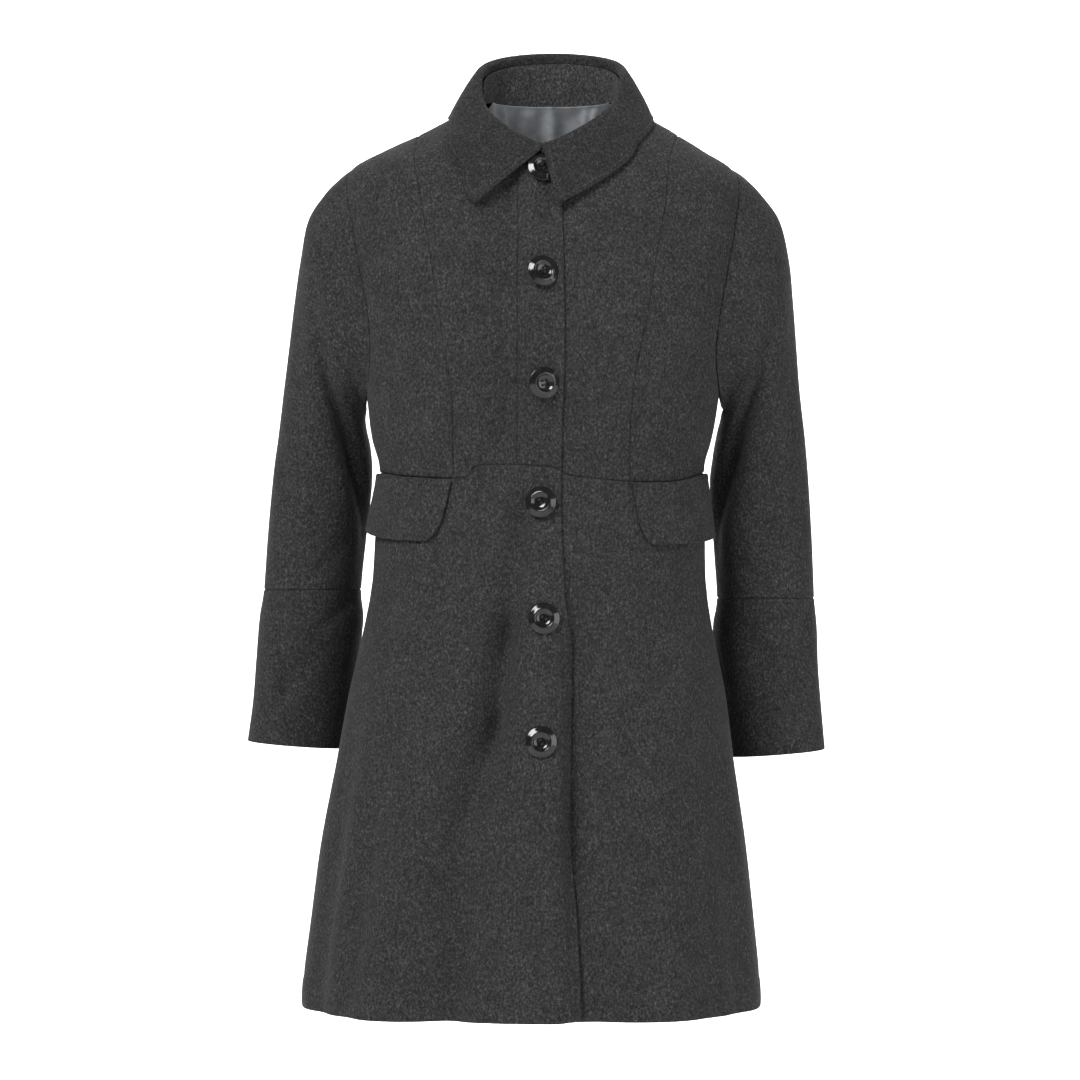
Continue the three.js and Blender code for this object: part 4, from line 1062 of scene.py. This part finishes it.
def makeBodice():
    band = skinPiece(bandPatch(), lambda x, z: overLift(x))
    rightCentre = skinPiece(centrePatch(right, bandTurn, bandEdge), lambda x, z: overLift(x))
    leftCentre = skinPiece(centrePatch(left, underTurn, underEdge))
    clothPiece("frontBandCloth", "front_band", band, (48, 330), "seam fold seam seam")
    clothPiece("frontCentreRightCloth", "front_centre_right", rightCentre, (95, 355), "seam seam seam seam")
    clothPiece("frontSideRightCloth", "front_side_right", skinPiece(sidePatch(right)), (112, 345),
               "seam softSeam seam seam")
    clothPiece("frontCentreLeftCloth", "front_centre_left", leftCentre, (135, 355), "fold seam seam seam")
    clothPiece("frontSideLeftCloth", "front_side_left", skinPiece(sidePatch(left)), (112, 345),
               "seam softSeam seam seam")
    clothPiece("backBodiceCloth", "back_bodice", skinPiece(backPatch()), (430, 380), "seam seam seam seam")


def makeSkirt():
    plainHem = always(hem["z"])
    rightFront = skinPiece(skirtPatch(always(-sideAngle), overEdgeAngle, waistSeam, overHem), skirtLift)
    leftFront = skinPiece(skirtPatch(underEdgeAngle, always(sideAngle), waistSeam, plainHem))
    back = skinPiece(skirtPatch(always(sideAngle), always(360 - sideAngle), always(waist["sideZ"]), plainHem))
    clothPiece("frontSkirtRightCloth", "front_skirt_right", rightFront, (300, 560), "seam fold seam fold",
               hemRelief)
    clothPiece("frontSkirtLeftCloth", "front_skirt_left", leftFront, (300, 560), "fold seam seam fold",
               hemRelief)
    clothPiece("backSkirtCloth", "back_skirt", back, (620, 560), "seam seam seam fold", hemRelief)


def makeSleeves():
    half = sleeveSizes["columns"] // 2
    easedShares = (np.arange(half + 1) / half) ** sleeveSizes["columnEasing"] * 0.5
    around = np.concatenate((easedShares, 1 - easedShares[-2::-1]))
    elbow, last = sleeveSizes["elbowRing"], sleeveSizes["lastRing"]
    parts = (("upper", 0, elbow, 430, "softSeam deepSeam"), ("lower", elbow, last, 168, "deepSeam fold"))
    for side, own in sleeveSides.items():
        for part, first, end, length, edges in parts:
            form = freePiece(sleeveShape(side, first, end), -side)
            clothPiece(f"sleeve{part.title()}{own['name'].title()}Cloth", f"sleeve_{part}_{own['name']}", form,
                       (sleeveSizes["roundLength"], length), edges, shares=around)


def makeCollar():
    stand, fall = freePiece(collarStand, -1), freePiece(collarFall, -1)
    # the stand wears the copy of the wool with painted light
    clothPiece("collarStandCloth", "collar_stand", stand, (440, 40), "fold fold seam seam",
               material="standWoolPaintedLight")
    # the fall wears the copy of the wool with painted shade
    clothPiece("collarFallCloth", "collar_fall", fall, (560, 96), "fold fold seam fold", collarRelief,
               "collarWoolPaintedShade")
    line, outward = insetLine(fall, collar["stitchIn"], collar["stitchFrom"])
    dress(stitchesAlong("collarTopstitch", line, outward), None, "thread")


def makeFlaps():
    for word, flap in flaps.items():
        clothPiece(f"pocketFlap{word.title()}Cloth", f"pocket_flap_{word}", flapPiece(flap), (118, 70),
                   "fold fold seam fold")


def makeLining():
    clothPiece("liningCloth", "lining_back_neck", liningPiece(), (200, 150), "fold fold fold fold",
               material="satin", wall=liningSizes["wall"], step=liningSizes["step"])


def threadBars():
    # bars of thread in the hole pattern of a button
    t = np.linspace(-1, 1, 9)
    beyond = np.maximum(0, np.abs(t) - buttonThread["levelShare"])
    height = buttonThread["height"] - buttonThread["dip"] * beyond ** buttonThread["dipPower"]
    return [np.stack((t * buttonThread["reach"], across * buttonThread["reach"] + strand + 0 * t, height), -1)
            for across in (-1, 1) for strand in buttonThread["strands"]]


def makeButtons():
    mesh = buttonMesh()
    mesh.materials.clear()
    mesh.materials.append(materials["button"])
    for i, row in enumerate(rowsOf(buttonPlaces)):
        angle = angleAt(row["x"], row["z"])
        outward = -skinInward(angle, row["z"])
        lift = skirtLift(row["x"], min(row["z"], waist["z"])) + button["gap"] + row["seat"]
        spot = skin(angle, row["z"], lift, creased=False)
        item = addObject(f"coatButton{i + 1}", mesh)
        upright = Vector(outward).to_track_quat("Z", "Y") @ Quaternion((0, 0, 1), math.radians(row["turn"]))
        item.matrix_world = Matrix.LocRotScale(Vector(spot * mm), upright, None)
        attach(item, "root")
        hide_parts(f"button_{i + 1}")
        thread = tubes(f"buttonThread{i + 1}", threadBars(), buttonThread["diameter"] / 3)
        thread.matrix_world = item.matrix_world.copy()
        thread.data.materials.append(materials["buttonThread"])
        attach(thread, "root")


makeBodice()
makeSkirt()
print("bodice and skirt made")
makeSleeves()
makeCollar()
makeFlaps()
makeLining()
makeButtons()
print("sleeves, collar, flaps, lining and buttons made")


# Stage, lights and camera, in metres
studio = {"floorZ": -1.45, "floorColor": "#f4f4f4", "shadeColor": "#f0f0f0", "backY": 5.4, "bend": 1.2,
          "halfWidth": 6.0, "frontY": -6.5, "backHeight": 5.0, "worldColor": "#ffffff", "worldStrength": 0.22}
lights = {
    "keySoftbox": {"place": (-2.5, -3.2, 3.1), "aim": (0, 0, -0.5), "size": (2.4, 2.4), "power": 350},
    "lowFill": {"place": (3.4, -2.7, 0.3), "aim": (0, 0, -0.5), "size": (3.6, 3.0), "power": 110},
    "backWash": {"place": (0, 2.4, 3.4), "aim": (0, 5.4, 0.0), "size": (5.0, 1.5), "power": 560}}
camera = {"place": (-0.003, -3.6, -0.4305), "lens": 36 * 3.6 / 1.134}


def pointAt(item, place, aim):
    item.location = place
    item.rotation_mode = "QUATERNION"
    item.rotation_quaternion = (Vector(aim) - Vector(place)).to_track_quat("-Z", "Y")


def makeStage():
    # one sheet of pale paper: floor, bend and backdrop
    turns = np.linspace(0, np.pi / 2, 16)
    bend = [(studio["backY"] - studio["bend"] + studio["bend"] * math.sin(t),
             studio["floorZ"] + studio["bend"] * (1 - math.cos(t))) for t in turns]
    line = [(studio["frontY"], studio["floorZ"])] + bend + [(studio["backY"], studio["backHeight"])]
    points = [(side * studio["halfWidth"] / mm, y / mm, z / mm) for y, z in line for side in (-1, 1)]
    faces = [(2 * i, 2 * i + 1, 2 * i + 3, 2 * i + 2) for i in range(len(line) - 1)]
    paper = meshObject("studioPaper", points, faces)
    material, tree, shader, place = newMaterial("backdropPaper", {"Roughness": 0.9})
    grain = addNode(tree, "ShaderNodeTexNoise", {"Scale": 3.0, "Detail": 2.0}, {"Vector": place})
    paint(tree, shader, grain.outputs["Fac"], [(0.3, studio["shadeColor"]), (0.7, studio["floorColor"])])
    paper.data.materials.append(material)
    world = bpy.data.worlds.new("studioWorld")
    world.use_nodes = True
    background = world.node_tree.nodes["Background"]
    background.inputs["Color"].default_value = linear(studio["worldColor"])
    background.inputs["Strength"].default_value = studio["worldStrength"]
    bpy.context.scene.world = world
    for name, row in lights.items():
        data = bpy.data.lights.new(name, "AREA")
        data.shape, data.size, data.size_y, data.energy = "RECTANGLE", *row["size"], row["power"]
        pointAt(addObject(name, data), row["place"], row["aim"])
    view = bpy.data.cameras.new("photoCamera")
    view.sensor_width, view.lens = 36, camera["lens"]
    eye = addObject("photoCamera", view)
    eye.location = camera["place"]
    eye.rotation_euler = (math.pi / 2, 0, 0)
    bpy.context.scene.camera = eye
    bpy.context.scene.view_settings.view_transform = "Standard"


makeStage()
print("stage, lights and camera set")

bpy.context.view_layer.update()
